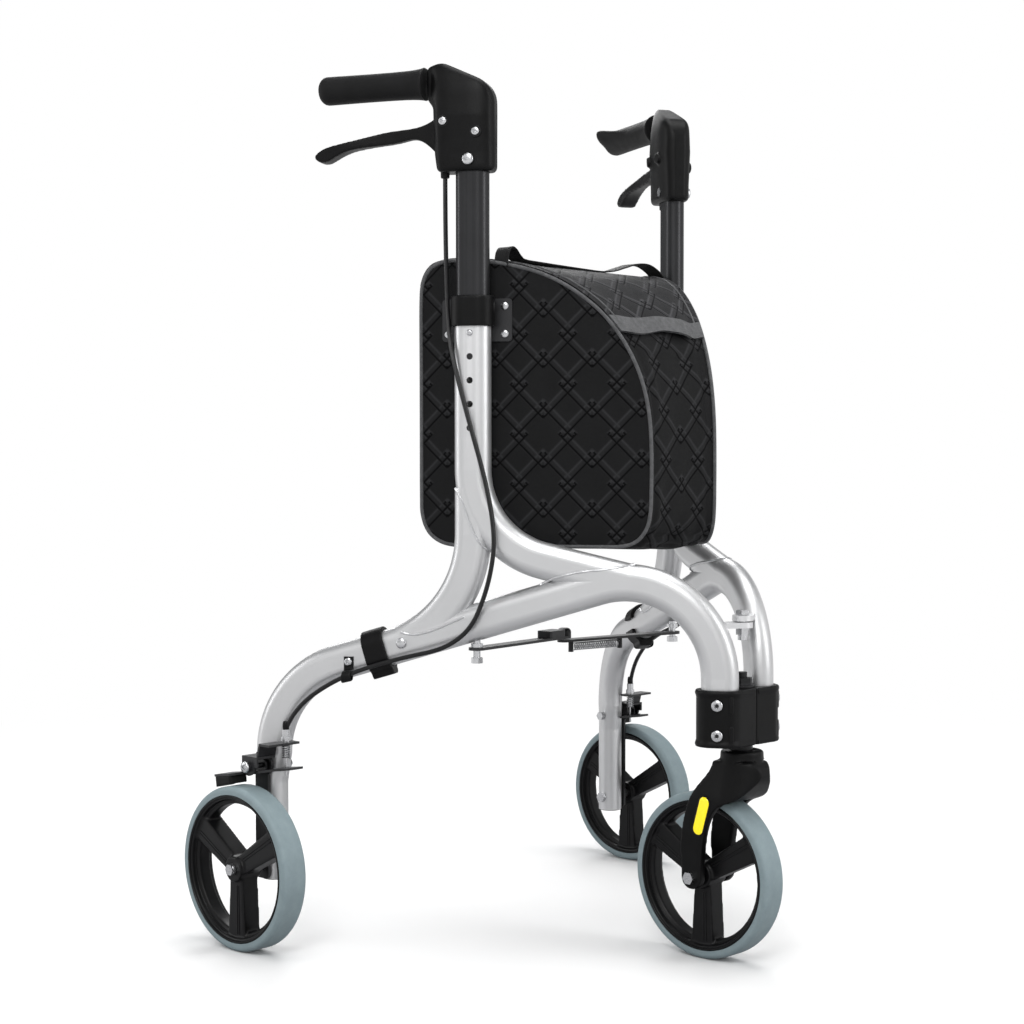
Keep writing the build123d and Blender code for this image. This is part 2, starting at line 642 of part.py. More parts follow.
# ---- caster -------------------------------------------------------------------------
FORK_IN, FORK_OUT = 21, 31
with BuildPart() as caster_fork:
    with BuildSketch(Plane.XZ.shift_origin((HINGE_X, 0, 0))):
        with BuildLine():
            Spline((-23, 218), (-27, 205), (-41, 187), (-52, 164), (-57.5, 142), (-59.5, 117),
                   (-TRAIL - 13, WHEEL_R), tangents=((0, -1), (0, -1)))
            RadiusArc((-TRAIL - 13, WHEEL_R), (-TRAIL + 13, WHEEL_R), -13.001)
            Spline((-TRAIL + 13, WHEEL_R), (-31.5, 104), (-29, 131), (-20, 158), (-8, 170.5), (10, 178),
                   (24, 191), (31, 204), (29, 212), (23, 218), tangents=((0, 1), (-0.5, 1)))
            Line((23, 218), (-23, 218))
        make_face()
    extrude(amount=FORK_OUT, both=True)
    with BuildSketch(Plane.YZ.offset(HINGE_X - 120)):
        with BuildLine():
            FilletPolyline((-FORK_OUT, 60), (-FORK_OUT, 178), (-22, 219), (22, 219), (FORK_OUT, 178),
                           (FORK_OUT, 60), close=True, radius=[1, 30, 4, 4, 30, 1])
        make_face()
    extrude(amount=200, mode=Mode.INTERSECT)
    with BuildSketch(Plane.XZ):
        with Locations((FRONT_WHEEL_X, WHEEL_R)):
            Circle(WHEEL_R + 6)
    extrude(amount=FORK_IN, both=True, mode=Mode.SUBTRACT)
    with BuildSketch(Plane.XZ):
        with Locations((FRONT_WHEEL_X, WHEEL_R)):
            Circle(AXLE_R)
    extrude(amount=50, both=True, mode=Mode.SUBTRACT)
    with BuildSketch(plan(217)):
        Circle(23)
    extrude(amount=12.5)
    fillet(caster_fork.edges().filter_by(GeomType.CIRCLE).sort_by(Axis.Z)[-1], 3)
    with BuildSketch(plan(205)):
        Circle(STEM_R)
    extrude(amount=30, mode=Mode.SUBTRACT)
export(caster_fork.part, "caster_fork")

with BuildPart() as caster_stem:
    with BuildSketch(plan(205)):
        Circle(STEM_R)
    extrude(amount=BLOCK_Z1 + 1 - 205)
    with BuildSketch(plan(BLOCK_Z1 + GAP)):
        Circle(14)
    extrude(amount=2)
    add(hex_head(plan(BLOCK_Z1 + 2), 11, 8))
    with BuildSketch(plan(BLOCK_Z1)):
        Circle(5)
    extrude(amount=16)
export(caster_stem.part, "caster_stem")

with BuildPart() as front_axle:
    with BuildSketch(Plane.XZ):
        with Locations((FRONT_WHEEL_X, WHEEL_R)):
            Circle(AXLE_R)
    extrude(amount=FORK_OUT + 1, both=True)
    for y, height in ((-FORK_OUT, 5), (FORK_OUT + 5, 5)):
        add(hex_head(across(FRONT_WHEEL_X, y, WHEEL_R), 7, height))
export(front_axle.part, "front_axle")


# ---- upper hinge lugs ---------------------------------------------------------------
def lug(z):
    """Flat welded lug from the right front tube to the fold axis."""
    foot = at(FRONT_S - 2, -TUBE_T / 2 - 0.2, 0)
    with BuildPart() as plate:
        with BuildSketch(plan(z)):
            with Locations((foot.X - HINGE_X, foot.Y)):
                Circle(8)
            Circle(11)
            make_hull()
        extrude(amount=LUG_T)
        add(arch_outer, mode=Mode.SUBTRACT)
        with BuildSketch(plan(z)):
            Circle(4 + RUN_FIT)
        extrude(amount=LUG_T, mode=Mode.SUBTRACT)
    return plate


export(lug(LUG_Z_RIGHT).part, "hinge_lug_right")
with BuildPart() as hinge_lug_left:
    mirror(lug(LUG_Z_LEFT).part, about=Plane.XZ)
export(hinge_lug_left.part, "hinge_lug_left")

with BuildPart() as lug_bolt:
    with BuildSketch(plan(LUG_Z_RIGHT - 10)):
        Circle(4)
    extrude(amount=LUG_Z_LEFT + LUG_T + 10.5 - LUG_Z_RIGHT)
    add(hex_head(plan(LUG_Z_LEFT + LUG_T + GAP), 7.5, 5))
    add(hex_head(plan(LUG_Z_RIGHT - 7 - GAP), 7.5, 7))
    with BuildSketch(plan(LUG_Z_RIGHT - 13)):
        Circle(5)
    extrude(amount=6)
export(lug_bolt.part, "lug_bolt")

# ---- fold brace ---------------------------------------------------------------------
BRACE_EYE = at(BRACE_S, 0, 0)


def brace_bar(z):
    """Flat link from the right arch to the centre of the brace."""
    with BuildPart() as bar:
        with BuildSketch(Plane.XY.offset(z)):
            with Locations((BRACE_EYE.X, BRACE_EYE.Y)):
                Circle(BAR_W / 2 + 1)
            with Locations((BRACE_CENTRE_X, 0)):
                Circle(BAR_W / 2)
            make_hull()
            with Locations((BRACE_EYE.X, BRACE_EYE.Y)):
                Circle(4 + RUN_FIT, mode=Mode.SUBTRACT)
        extrude(amount=BAR_T)
    return bar


BAR_DIR = Vector(BRACE_EYE.X - BRACE_CENTRE_X, BRACE_EYE.Y, 0).normalized()
BAR_FRAME = Plane(origin=(BRACE_CENTRE_X, 0, 0), x_dir=BAR_DIR, z_dir=(0, 0, 1))
with BuildPart() as brace_bar_right:
    add(brace_bar(BAR_Z_RIGHT).part)
    with BuildSketch(BAR_FRAME.offset(BAR_Z_RIGHT + BAR_T)):
        Circle(8)
    extrude(amount=9)
    fillet(brace_bar_right.edges().filter_by(GeomType.CIRCLE).sort_by(Axis.Z)[-1], 5)
    with BuildSketch(BAR_FRAME.offset(BAR_Z_RIGHT + BAR_T)):
        with Locations((26, 0)):
            RectangleRounded(30, 20, 3)
    extrude(amount=8)
export(brace_bar_right.part, "brace_bar_right")

with BuildPart() as brace_bar_left:
    mirror(brace_bar(BAR_Z_LEFT).part, about=Plane.XZ)
    with BuildSketch(Plane(origin=(BRACE_CENTRE_X, 0, BAR_Z_LEFT), x_dir=(BAR_DIR.X, -BAR_DIR.Y, 0),
                           z_dir=(0, 0, 1))):
        with Locations((10, 0), (84, 0)):
            Circle(3)
    extrude(amount=-12)
export(brace_bar_left.part, "brace_bar_left")

SPRING_AXIS = Plane(
    origin=(BRACE_CENTRE_X, 0, BAR_Z_LEFT - 6), x_dir=(0, 0, 1),
    z_dir=(BAR_DIR.X, -BAR_DIR.Y, 0),
).offset(13.3)
with BuildPart() as brace_spring:
    with BuildSketch(SPRING_AXIS):
        Circle(4.8)
        Circle(3.6, mode=Mode.SUBTRACT)
    extrude(amount=67.4)
export(brace_spring.part, "brace_spring")

# ---- bag gusset ---------------------------------------------------------------------
with BuildPart() as bag_gusset:
    with BuildSketch(Plane.XZ):
        for inset, mode in ((0, Mode.ADD), (3, Mode.SUBTRACT)):
            with BuildLine(mode=Mode.PRIVATE) as outline:
                FilletPolyline(
                    *[(HINGE_X + 5 - s * CS, z) for s, z in (
                        (BAG_S1 - 3 - inset, BAG_Z0 + 3 + inset),
                        (BAG_S1 - 3 - inset, BAG_Z1 - 3 - inset),
                        (225, BAG_Z1 - 3 - inset), (130 + inset / 2, 719 - inset),
                        (BAG_S0 + 3 + inset, 638), (BAG_S0 + 3 + inset, BAG_Z0 + 3 + inset))],
                    close=True, radius=24 - inset,
                )
            add(make_face(outline.edges(), mode=Mode.PRIVATE), mode=mode)
        with BuildLine(mode=Mode.PRIVATE) as mouth:
            Polyline((HINGE_X - 290, 700), (HINGE_X - 110, 700), (HINGE_X - 110, 760),
                     (HINGE_X - 290, 760), close=True)
        add(make_face(mouth.edges(), mode=Mode.PRIVATE), mode=Mode.SUBTRACT)
    extrude(amount=250, both=True)
    inner = [at(s, PANEL_N - BAG_T - GAP, 0) for s in (40, 420)]
    with BuildSketch(Plane.XY.offset(BAG_Z0)):
        with BuildLine():
            Polyline(*[(p.X, p.Y) for p in inner], *[(p.X, -p.Y) for p in reversed(inner)], close=True)
        make_face()
    extrude(amount=BAG_Z1 - BAG_Z0, mode=Mode.INTERSECT)
export(bag_gusset.part, "bag_gusset")
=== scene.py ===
"""Looks of the folding three-wheel rollator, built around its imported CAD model.

Metres, +Z up, +X towards the front caster. Points of a side frame are given in
millimetres as (s, n, z): s backwards along the frame, n outwards from its mid-plane.
"""
import json
from math import cos, pi, radians, sin, sqrt, tau

import bmesh
import bpy
import numpy as np
from mathutils import Matrix, Vector
from mathutils.bvhtree import BVHTree

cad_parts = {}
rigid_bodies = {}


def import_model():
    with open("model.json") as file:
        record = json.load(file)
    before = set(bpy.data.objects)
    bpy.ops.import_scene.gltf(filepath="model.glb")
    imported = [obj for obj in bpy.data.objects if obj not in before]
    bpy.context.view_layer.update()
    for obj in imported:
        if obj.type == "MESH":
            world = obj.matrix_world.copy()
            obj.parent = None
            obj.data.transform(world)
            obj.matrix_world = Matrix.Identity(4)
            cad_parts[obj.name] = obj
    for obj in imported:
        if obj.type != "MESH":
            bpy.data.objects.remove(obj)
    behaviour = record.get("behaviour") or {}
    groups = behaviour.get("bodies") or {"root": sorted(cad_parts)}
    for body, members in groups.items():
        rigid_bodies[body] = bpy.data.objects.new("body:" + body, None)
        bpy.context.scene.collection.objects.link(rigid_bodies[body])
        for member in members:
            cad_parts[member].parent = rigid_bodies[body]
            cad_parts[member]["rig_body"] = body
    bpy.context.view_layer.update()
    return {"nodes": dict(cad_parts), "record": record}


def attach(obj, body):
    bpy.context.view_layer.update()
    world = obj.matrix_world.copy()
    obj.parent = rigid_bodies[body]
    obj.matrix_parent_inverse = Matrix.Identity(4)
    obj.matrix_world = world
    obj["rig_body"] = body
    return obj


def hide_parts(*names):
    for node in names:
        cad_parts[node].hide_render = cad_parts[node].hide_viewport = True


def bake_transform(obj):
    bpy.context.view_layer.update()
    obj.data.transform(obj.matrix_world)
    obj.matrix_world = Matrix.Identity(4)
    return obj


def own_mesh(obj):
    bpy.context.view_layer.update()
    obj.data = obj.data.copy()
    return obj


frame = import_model()
NODES = frame["nodes"]

# Driving dimensions of the CAD model: millimetres, and the splay of each frame.
HINGE_X = 239.5
SPLAY = radians(30)
FRAME_OFFSET = 27
AXLE_Z = 90
REAR_LEG_S = 517
REAR_WHEEL_Y = 325.6
CASTER_TRAIL = 44.8
CS, SN = cos(SPLAY), sin(SPLAY)
SIDES = (("right", 1), ("left", -1))
WELD_GAP = 1e-7  # metres


def at(s, n, z, flip=1):
    """Point of a side frame in metres; flip -1 is the left frame."""
    n += FRAME_OFFSET
    return Vector((HINGE_X - s * CS + n * SN, flip * (-s * SN - n * CS), z)) / 1000


def turned(ds, dn, dz, flip):
    """Direction given in the axes of a side frame."""
    return Vector((-ds * CS + dn * SN, flip * (-ds * SN - dn * CS), dz)).normalized()


def add_object(name, data):
    made = bpy.data.objects.new(name, data)
    bpy.context.scene.collection.objects.link(made)
    return made


def evaluated_mesh(obj):
    """Mesh of an object with its modifiers or bevel worked out."""
    bpy.context.view_layer.update()
    graph = bpy.context.evaluated_depsgraph_get()
    return bpy.data.meshes.new_from_object(obj.evaluated_get(graph))


# ---- shader helpers -----------------------------------------------------------------
def tint(colour, factor):
    return tuple(factor * c for c in colour)


class Nodes:
    """Short calls that add nodes to a node tree."""

    def __init__(self, tree):
        self.tree = tree

    def link(self, output, socket):
        self.tree.links.new(output, socket)

    def feed(self, socket, value):
        if isinstance(value, bpy.types.NodeSocket):
            self.link(value, socket)
        elif value is not None:
            socket.default_value = value

    def node(self, kind, inputs=None, **settings):
        made = self.tree.nodes.new(kind)
        for key, value in settings.items():
            setattr(made, key, value)
        for key, value in (inputs or {}).items():
            self.feed(made.inputs[key], value)
        return made


class Shader(Nodes):
    """Material with a principled shader and calls for colour, roughness and bump."""

    def __init__(self, name, **sockets):
        self.material = bpy.data.materials.new(name)
        self.material.use_nodes = True
        super().__init__(self.material.node_tree)
        self.principled = self.tree.nodes["Principled BSDF"]
        for key, value in sockets.items():
            self.principled.inputs[key.replace("_", " ")].default_value = value
        self.height = None

    def math(self, operation, a, b=None, c=None):
        made = self.node("ShaderNodeMath", operation=operation)
        for socket, value in zip(made.inputs, (a, b, c)):
            self.feed(socket, value)
        return made.outputs[0]

    def ramp(self, value, *stops):
        made = self.node("ShaderNodeValToRGB", {0: value})
        elements = made.color_ramp.elements
        while len(elements) < len(stops):
            elements.new(0.5)
        for element, (place, colour) in zip(elements, stops):
            element.position = place
            element.color = (*colour, 1)
        return made.outputs[0]

    def shades(self, value, base, low, high):
        """Darker to lighter shades of one colour; low and high are (place, factor)."""
        return self.ramp(value, *((place, tint(base, factor)) for place, factor in (low, high)))

    def object_xyz(self):
        return self.node("ShaderNodeTexCoord").outputs["Object"]

    def cloth_uv(self):
        """Lengths along the two threads of a cloth, in metres."""
        uv = self.node("ShaderNodeUVMap", uv_map="cloth").outputs[0]
        return self.node("ShaderNodeSeparateXYZ", {0: uv}).outputs

    def stretched(self, scale):
        return self.node("ShaderNodeMapping", {"Vector": self.object_xyz(), "Scale": scale}).outputs[0]

    def noise(self, scale, detail=3, rough=0.55, vector=None):
        made = self.node("ShaderNodeTexNoise", {
            "Vector": vector or self.object_xyz(), "Scale": scale, "Detail": detail, "Roughness": rough})
        return made.outputs["Fac"]

    def cells(self, scale):
        made = self.node("ShaderNodeTexVoronoi", {"Vector": self.object_xyz(), "Scale": scale})
        return made.outputs["Distance"]

    def edge_wear(self, low=0.52, high=0.6):
        """1 on convex edges, broken up by noise."""
        pointy = self.node("ShaderNodeNewGeometry").outputs["Pointiness"]
        spots = self.math("MULTIPLY_ADD", self.noise(90, 4), 0.05, -0.025)
        edge = self.math("ADD", pointy, spots)
        return self.node("ShaderNodeMapRange", {"Value": edge, "From Min": low, "From Max": high}).outputs[0]

    def bump(self, height, distance, strength):
        made = self.node("ShaderNodeBump", {
            "Strength": strength, "Distance": distance, "Height": height, "Normal": self.height})
        self.height = made.outputs[0]
        self.link(self.height, self.principled.inputs["Normal"])

    def colour(self, value):
        self.feed(self.principled.inputs["Base Color"], value)

    def blend_colour(self, share, a, b):
        a, b = ((*c, 1) if isinstance(c, tuple) else c for c in (a, b))
        return self.node("ShaderNodeMix", {0: share, 6: a, 7: b}, data_type="RGBA").outputs[2]

    def worn_colour(self, wear, share, base, edge):
        """Base colour with a lighter one on rubbed edges."""
        self.colour(self.blend_colour(self.math("MULTIPLY", wear, share), base, edge))

    def rough(self, value, low, high):
        made = self.node("ShaderNodeMapRange", {"Value": value, "To Min": low, "To Max": high})
        self.link(made.outputs[0], self.principled.inputs["Roughness"])


def satin_silver(name):
    """Satin silver lacquer: orange peel, fine flake and handling marks."""
    sh = Shader(name, Metallic=0.85, Roughness=0.4, Coat_Weight=0.12, Coat_Roughness=0.25)
    tone = sh.math("MULTIPLY_ADD", sh.noise(14, 4), 0.6, 0.2)
    base = sh.ramp(tone, (0.3, (0.585, 0.588, 0.595)), (0.7, (0.645, 0.648, 0.655)))
    sh.worn_colour(sh.edge_wear(0.56, 0.66), 0.5, base, (0.82, 0.82, 0.83))
    sh.rough(sh.noise(35, 5), 0.37, 0.47)
    sh.bump(sh.noise(900, 2), 0.00006, 0.3)
    sh.bump(sh.noise(2600, 1), 0.00002, 0.3)
    return sh.material


def zinc(name, base=(0.62, 0.625, 0.64), low=0.16, high=0.36):
    """Bright zinc or polished steel with turning marks and fine scratches."""
    sh = Shader(name, Metallic=1.0, Roughness=0.25)
    sh.colour(sh.shades(sh.noise(260, 4), base, (0.3, 0.86), (0.7, 1)))
    sh.rough(sh.noise(420, 5, vector=sh.stretched((1, 1, 8))), low, high)
    sh.bump(sh.noise(1800, 3, vector=sh.stretched((1, 6, 1))), 0.00003, 0.4)
    return sh.material


def moulded(name, base=(0.0028, 0.0028, 0.003), grain=1500, depth=0.00006, low=0.34, high=0.52,
            worn=(0.018, 0.018, 0.019), level=0.15):
    """Black moulded plastic or rubber: spark-eroded grain and rubbed edges."""
    sh = Shader(name, Roughness=0.45, Specular_IOR_Level=level)
    mottle = sh.shades(sh.noise(60, 4), base, (0.35, 0.8), (0.7, 1.35))
    sh.worn_colour(sh.edge_wear(), 0.6, mottle, worn)
    sh.rough(sh.noise(120, 4), low, high)
    sh.bump(sh.cells(grain), depth, 0.35)
    sh.bump(sh.noise(grain * 0.45, 3), depth, 0.4)
    return sh.material


def painted_black(name, base=(0.008, 0.0082, 0.009), metal=0.2, low=0.28, high=0.44):
    """Black coated steel or anodised tube with drawn lines along it."""
    sh = Shader(name, Metallic=metal, Roughness=0.36, Specular_IOR_Level=0.35)
    mottle = sh.shades(sh.noise(30, 4), base, (0.3, 0.8), (0.75, 1.3))
    sh.worn_colour(sh.edge_wear(0.53, 0.62), 0.5, mottle, (0.05, 0.05, 0.053))
    sh.rough(sh.noise(60, 4, vector=sh.stretched((3, 3, 0.4))), low, high)
    sh.bump(sh.noise(1500, 2, vector=sh.stretched((3, 3, 0.2))), 0.00002, 0.2)
    return sh.material


def tyre_grey(name):
    """Blue-grey polyurethane tyre, matt, with faint scuffs."""
    sh = Shader(name, Roughness=0.6, Specular_IOR_Level=0.35)
    sh.colour(sh.ramp(sh.noise(70, 6, 0.7), (0.3, (0.205, 0.262, 0.28)), (0.62, (0.235, 0.298, 0.318)),
                      (0.85, (0.262, 0.328, 0.345))))
    sh.rough(sh.noise(45, 5), 0.48, 0.7)
    sh.bump(sh.noise(1100, 4), 0.00008, 0.35)
    sh.bump(sh.noise(160, 3), 0.00012, 0.2)
    return sh.material


# Sizes within one cell of the embossed pattern, as shares of the cell.
LINK_REACH, LINK_HALF_WIDTH, LINK_SHIFT, LINK_LINE = 0.66, 0.082, 0.21, 19.0
LINK_CELL = 0.038
WEAVE_PITCH = 0.0011


def embossed_links(sh, u, v):
    """Interlocking links on a diagonal lattice: (outline, inside, side of the outline that takes painted
    shade), each 0 to 1.
    """
    px = sh.math("MULTIPLY", sh.math("ADD", u, v), 0.7071 / LINK_CELL)
    py = sh.math("MULTIPLY", sh.math("SUBTRACT", v, u), 0.7071 / LINK_CELL)
    found = [None, None, None]
    for along, across in ((px, py), (py, px)):
        row = sh.math("FLOOR", sh.math("ADD", across, 0.5))
        offset = sh.math("SUBTRACT", across, row)
        parity = sh.math("FLOORED_MODULO", row, 2.0)
        for k in (0, 1):
            place = sh.math("FLOORED_MODULO", sh.math("ADD", along, 0.5 - k), 2.0)
            place = sh.math("SUBTRACT", place, 1.0)
            turn = sh.math("ABSOLUTE", sh.math("SUBTRACT", parity, float(k)))
            side = sh.math("SUBTRACT", offset, sh.math("MULTIPLY_ADD", turn, LINK_SHIFT, -LINK_SHIFT / 2))
            reach = sh.math("SUBTRACT", sh.math("ABSOLUTE", place), LINK_REACH)
            width = sh.math("SUBTRACT", sh.math("ABSOLUTE", side), LINK_HALF_WIDTH)
            box = sh.math("MAXIMUM", reach, width)
            from_line = sh.math("MULTIPLY", sh.math("ABSOLUTE", box), LINK_LINE)
            line = sh.math("MAXIMUM", sh.math("SUBTRACT", 1.0, from_line), 0.0)
            inside = sh.math("LESS_THAN", box, 0.0)
            # Mask of painted shade: the outline on the side of each link that is turned away from the light.
            shade = sh.math("MULTIPLY", line, sh.math("LESS_THAN", side, 0.0))
            found = [new if old is None else sh.math("MAXIMUM", old, new)
                     for old, new in zip(found, (line, inside, shade))]
    return found


# line is the colour of the painted shade; light is the colour of the bars, and 2.2 times it is the painted
# highlight.
def bag_cloth(name, base, line, light, sheen):
    """Coated polyester: fine plain weave with an embossed pattern of interlocking links, lighter bars, and a
    painted highlight on one side of each outline and painted shade on the other.
    """
    sh = Shader(name, Roughness=0.62, Specular_IOR_Level=0.14, Sheen_Weight=sheen, Sheen_Roughness=0.4)
    u, v, _ = sh.cloth_uv()
    warp, weft = (sh.math("SINE", sh.math("MULTIPLY", thread, tau / WEAVE_PITCH)) for thread in (u, v))
    outline, inside, shade = embossed_links(sh, u, v)
    ground = sh.shades(sh.noise(25, 5), base, (0.3, 0.85), (0.7, 1.2))
    bars = sh.blend_colour(sh.math("MULTIPLY", inside, 0.6), ground, light)
    # Painted highlight: the outline is painted 2.2 times as light as the bars.
    painted_highlight = sh.blend_colour(sh.math("MULTIPLY", outline, 0.8), bars, tint(light, 2.2))
    # Painted shade: the outline on the side away from the light is painted in the near-black line colour.
    sh.colour(sh.blend_colour(shade, painted_highlight, line))
    # Where the shade is painted, the specular reflection is cut as well, which darkens it further.
    sh.feed(sh.principled.inputs["Specular IOR Level"], sh.math("MULTIPLY_ADD", shade, -0.13, 0.14))
    sh.rough(sh.noise(300, 4), 0.5, 0.74)
    sh.bump(sh.math("SUBTRACT", sh.math("MULTIPLY", inside, 0.35), shade), 0.0006, 0.7)
    sh.bump(sh.math("MULTIPLY", warp, weft), 0.0001, 0.3)
    return sh.material


def ribbed(name, base, pitch):
    """Woven tape: diagonal ribs over a soft, slightly furry base."""
    sh = Shader(name, Roughness=0.6, Specular_IOR_Level=0.2, Sheen_Weight=0.06, Sheen_Roughness=0.5)
    u, v, _ = sh.cloth_uv()
    rib = sh.math("SINE", sh.math("MULTIPLY", sh.math("ADD", u, v), tau / pitch))
    cross = sh.math("SINE", sh.math("MULTIPLY", v, tau / (pitch * 1.7)))
    sh.colour(sh.shades(sh.noise(180, 4), base, (0.3, 0.75), (0.7, 1.2)))
    sh.rough(sh.noise(400, 4), 0.5, 0.7)
    sh.bump(sh.math("ADD", rib, sh.math("MULTIPLY", cross, 0.5)), 0.00022, 0.4)
    return sh.material


def reflector_yellow(name):
    """Yellow reflex lens: tiny prisms under a clear face, with a painted glow: a faint yellow emission,
    though it is no lamp.
    """
    # Painted glow: the emission makes the lens shine by itself.
    sh = Shader(name, Roughness=0.18, Coat_Weight=0.6, Coat_Roughness=0.06, Specular_IOR_Level=0.6,
                Emission_Color=(1.0, 0.82, 0.0, 1), Emission_Strength=0.25)
    prism = sh.cells(900)
    sh.colour(sh.ramp(prism, (0.0, (0.9, 0.68, 0.0)), (0.6, (1.0, 0.84, 0.0))))
    sh.bump(prism, 0.0003, 0.3)
    return sh.material


SILVER = satin_silver("satin_silver")
STEEL = zinc("bright_steel")
WELD = zinc("weld_bead", (0.72, 0.725, 0.735), 0.28, 0.5)
COATED = painted_black("coated_steel")
SPRING = zinc("spring_steel", (0.3, 0.305, 0.315), 0.2, 0.36)
POST_BLACK = painted_black("anodised_tube", (0.017, 0.0174, 0.0185), 0.6, 0.27, 0.31)
PLASTIC = moulded("moulded_plastic")
RIM_PLASTIC = moulded("rim_plastic", (0.0038, 0.0038, 0.0042), 1100, 0.00007, 0.3, 0.44, level=0.22)
RUBBER = moulded("grip_rubber", (0.0042, 0.0042, 0.0045), 1900, 0.0001, 0.5, 0.7,
                 (0.014, 0.014, 0.014), 0.18)
CABLE_SKIN = moulded("cable_sheath", (0.004, 0.004, 0.0045), 2400, 0.00003, 0.28, 0.42, level=0.3)
TYRE = tyre_grey("tyre_urethane")
# Bag cloths: ground colour, colour of the painted shade, colour of the bars (2.2 times it is the painted
# highlight), and sheen.
CLOTH = bag_cloth("bag_cloth", (0.0048, 0.0049, 0.0053), (0.0002, 0.0002, 0.0002),
                  (0.0115, 0.0116, 0.0125), 0.02)
FLAP_CLOTH = bag_cloth("flap_cloth", (0.016, 0.016, 0.017), (0.003, 0.003, 0.0032),
                       (0.029, 0.029, 0.031), 0.04)
PIPING = ribbed("piping_tape", (0.088, 0.089, 0.092), 0.0014)
WEBBING = ribbed("webbing", (0.004, 0.004, 0.0045), 0.0022)
LENS = reflector_yellow("reflector_lens")

SLOT_LOOKS = {
    "silver_tube": SILVER, "silver_steel": SILVER, "zinc_steel": STEEL, "black_steel": COATED,
    "black_tube": POST_BLACK, "black_plastic": PLASTIC, "black_rubber": RUBBER,
    "grey_tyre": TYRE, "bag_fabric": CLOTH,
}
NODE_LOOKS = {"cable_adjuster_right": STEEL, "cable_adjuster_left": STEEL,
              "bag_plate_right": COATED, "bag_plate_left": COATED}


# ---- CAD nodes ----------------------------------------------------------------------
def smooth_shade(mesh, angle=32):
    for polygon in mesh.polygons:
        polygon.use_smooth = True
    mesh.set_sharp_from_angle(angle=radians(angle))


def dress(mesh, material):
    mesh.materials.clear()
    mesh.materials.append(material)


node_slots = {entry["node"]: entry["material_slot"] for entry in frame["record"]["subparts"]}
for node, source in NODES.items():
    dress(source.data, NODE_LOOKS.get(node) or SLOT_LOOKS.get(node_slots.get(node), PLASTIC))
    smooth_shade(source.data)


# ---- mesh helpers -------------------------------------------------------------------
def piece(name, points, faces, material, body=None, uv=None, angle=40):
    """New mesh object; uv is one (u, v) in metres for each vertex."""
    mesh = bpy.data.meshes.new(name)
    mesh.from_pydata([tuple(p) for p in points], [], faces)
    mesh.materials.append(material)
    if uv is not None:
        layer = mesh.uv_layers.new(name="cloth")
        for loop in mesh.loops:
            layer.data[loop.index].uv = uv[loop.vertex_index]
    mesh.validate()
    mesh.update()
    smooth_shade(mesh, angle)
    made = add_object(name, mesh)
    if body:
        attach(made, body)
    return made


def weld(obj):
    """Join vertices that share a place, and turn the faces outwards."""
    edit = bmesh.new()
    edit.from_mesh(obj.data)
    bmesh.ops.remove_doubles(edit, verts=edit.verts, dist=WELD_GAP)
    bmesh.ops.recalc_face_normals(edit, faces=edit.faces)
    edit.to_mesh(obj.data)
    edit.free()
    smooth_shade(obj.data, 35)
    return obj


def ring_faces(rings, count, closed=False):
    """Faces over rings of points; closed joins the last ring to the first, or both are capped."""
    faces = []
    for i in range(rings if closed else rings - 1):
        here, there = i * count, (i + 1) % rings * count
        for k in range(count):
            m = (k + 1) % count
            faces.append((here + k, here + m, there + m, there + k))
    if not closed:
        last = (rings - 1) * count
        faces += [tuple(range(count))[::-1], tuple(range(last, last + count))]
    return faces


def smooth_path(points, per, closed=False):
    """Points on a smooth curve through the given ones."""
    pts = [np.array(p, float) for p in points]
    count = len(pts)
    out = []
    spans = count if closed else count - 1
    for i in range(spans):
        if closed:
            p0, p1, p2, p3 = (pts[(i + k) % count] for k in (-1, 0, 1, 2))
        else:
            p0, p1, p2, p3 = pts[max(i - 1, 0)], pts[i], pts[i + 1], pts[min(i + 2, count - 1)]
        for k in range(per):
            t = k / per
            out.append(0.5 * (2 * p1 + (p2 - p0) * t + (2 * p0 - 5 * p1 + 4 * p2 - p3) * t ** 2
                              + (3 * p1 - p0 - 3 * p2 + p3) * t ** 3))
    if not closed:
        out.append(pts[-1])
    return out


def frames_along(path, closed, up):
    """Side and up directions at each point of a path, turned as little as possible."""
    path = np.array(path, float)
    count = len(path)
    tangents = np.roll(path, -1, 0) - np.roll(path, 1, 0)
    if not closed:
        tangents[0], tangents[-1] = path[1] - path[0], path[-1] - path[-2]
    tangents /= np.linalg.norm(tangents, axis=1)[:, None]
    start = np.array(up if up is not None else (0.13, 0.21, 0.97), float)
    normals = []
    for i in range(count):
        reference = start if (up is not None or i == 0) else normals[-1]
        normal = reference - tangents[i] * np.dot(reference, tangents[i])
        normals.append(normal / np.linalg.norm(normal))
    normals = np.array(normals)
    return path, np.cross(tangents, normals), normals


def sweep(path, section, closed=False, up=None, scale=None):
    """Vertices, faces and uv of a section (list of (side, up)) carried along a path."""
    path, sides, ups = frames_along(path, closed, up)
    points, uv = [], []
    run = 0.0
    for i, centre in enumerate(path):
        grow = 1.0 if scale is None else scale[i]
        if i:
            run += float(np.linalg.norm(centre - path[i - 1]))
        around = 0.0
        for j, (a, b) in enumerate(section):
            points.append(centre + sides[i] * a * grow + ups[i] * b * grow)
            if j:
                around += sqrt((a - section[j - 1][0]) ** 2 + (b - section[j - 1][1]) ** 2)
            uv.append((run, around))
    return points, ring_faces(len(path), len(section), closed), uv


def swept(name, path, section, material, body=None, angle=40, **how):
    """Piece with a section carried along a path."""
    points, faces, uv = sweep(path, section, **how)
    return piece(name, points, faces, material, body, uv, angle)


def circle(radius, count):
    return [(radius * cos(tau * k / count), radius * sin(tau * k / count)) for k in range(count)]


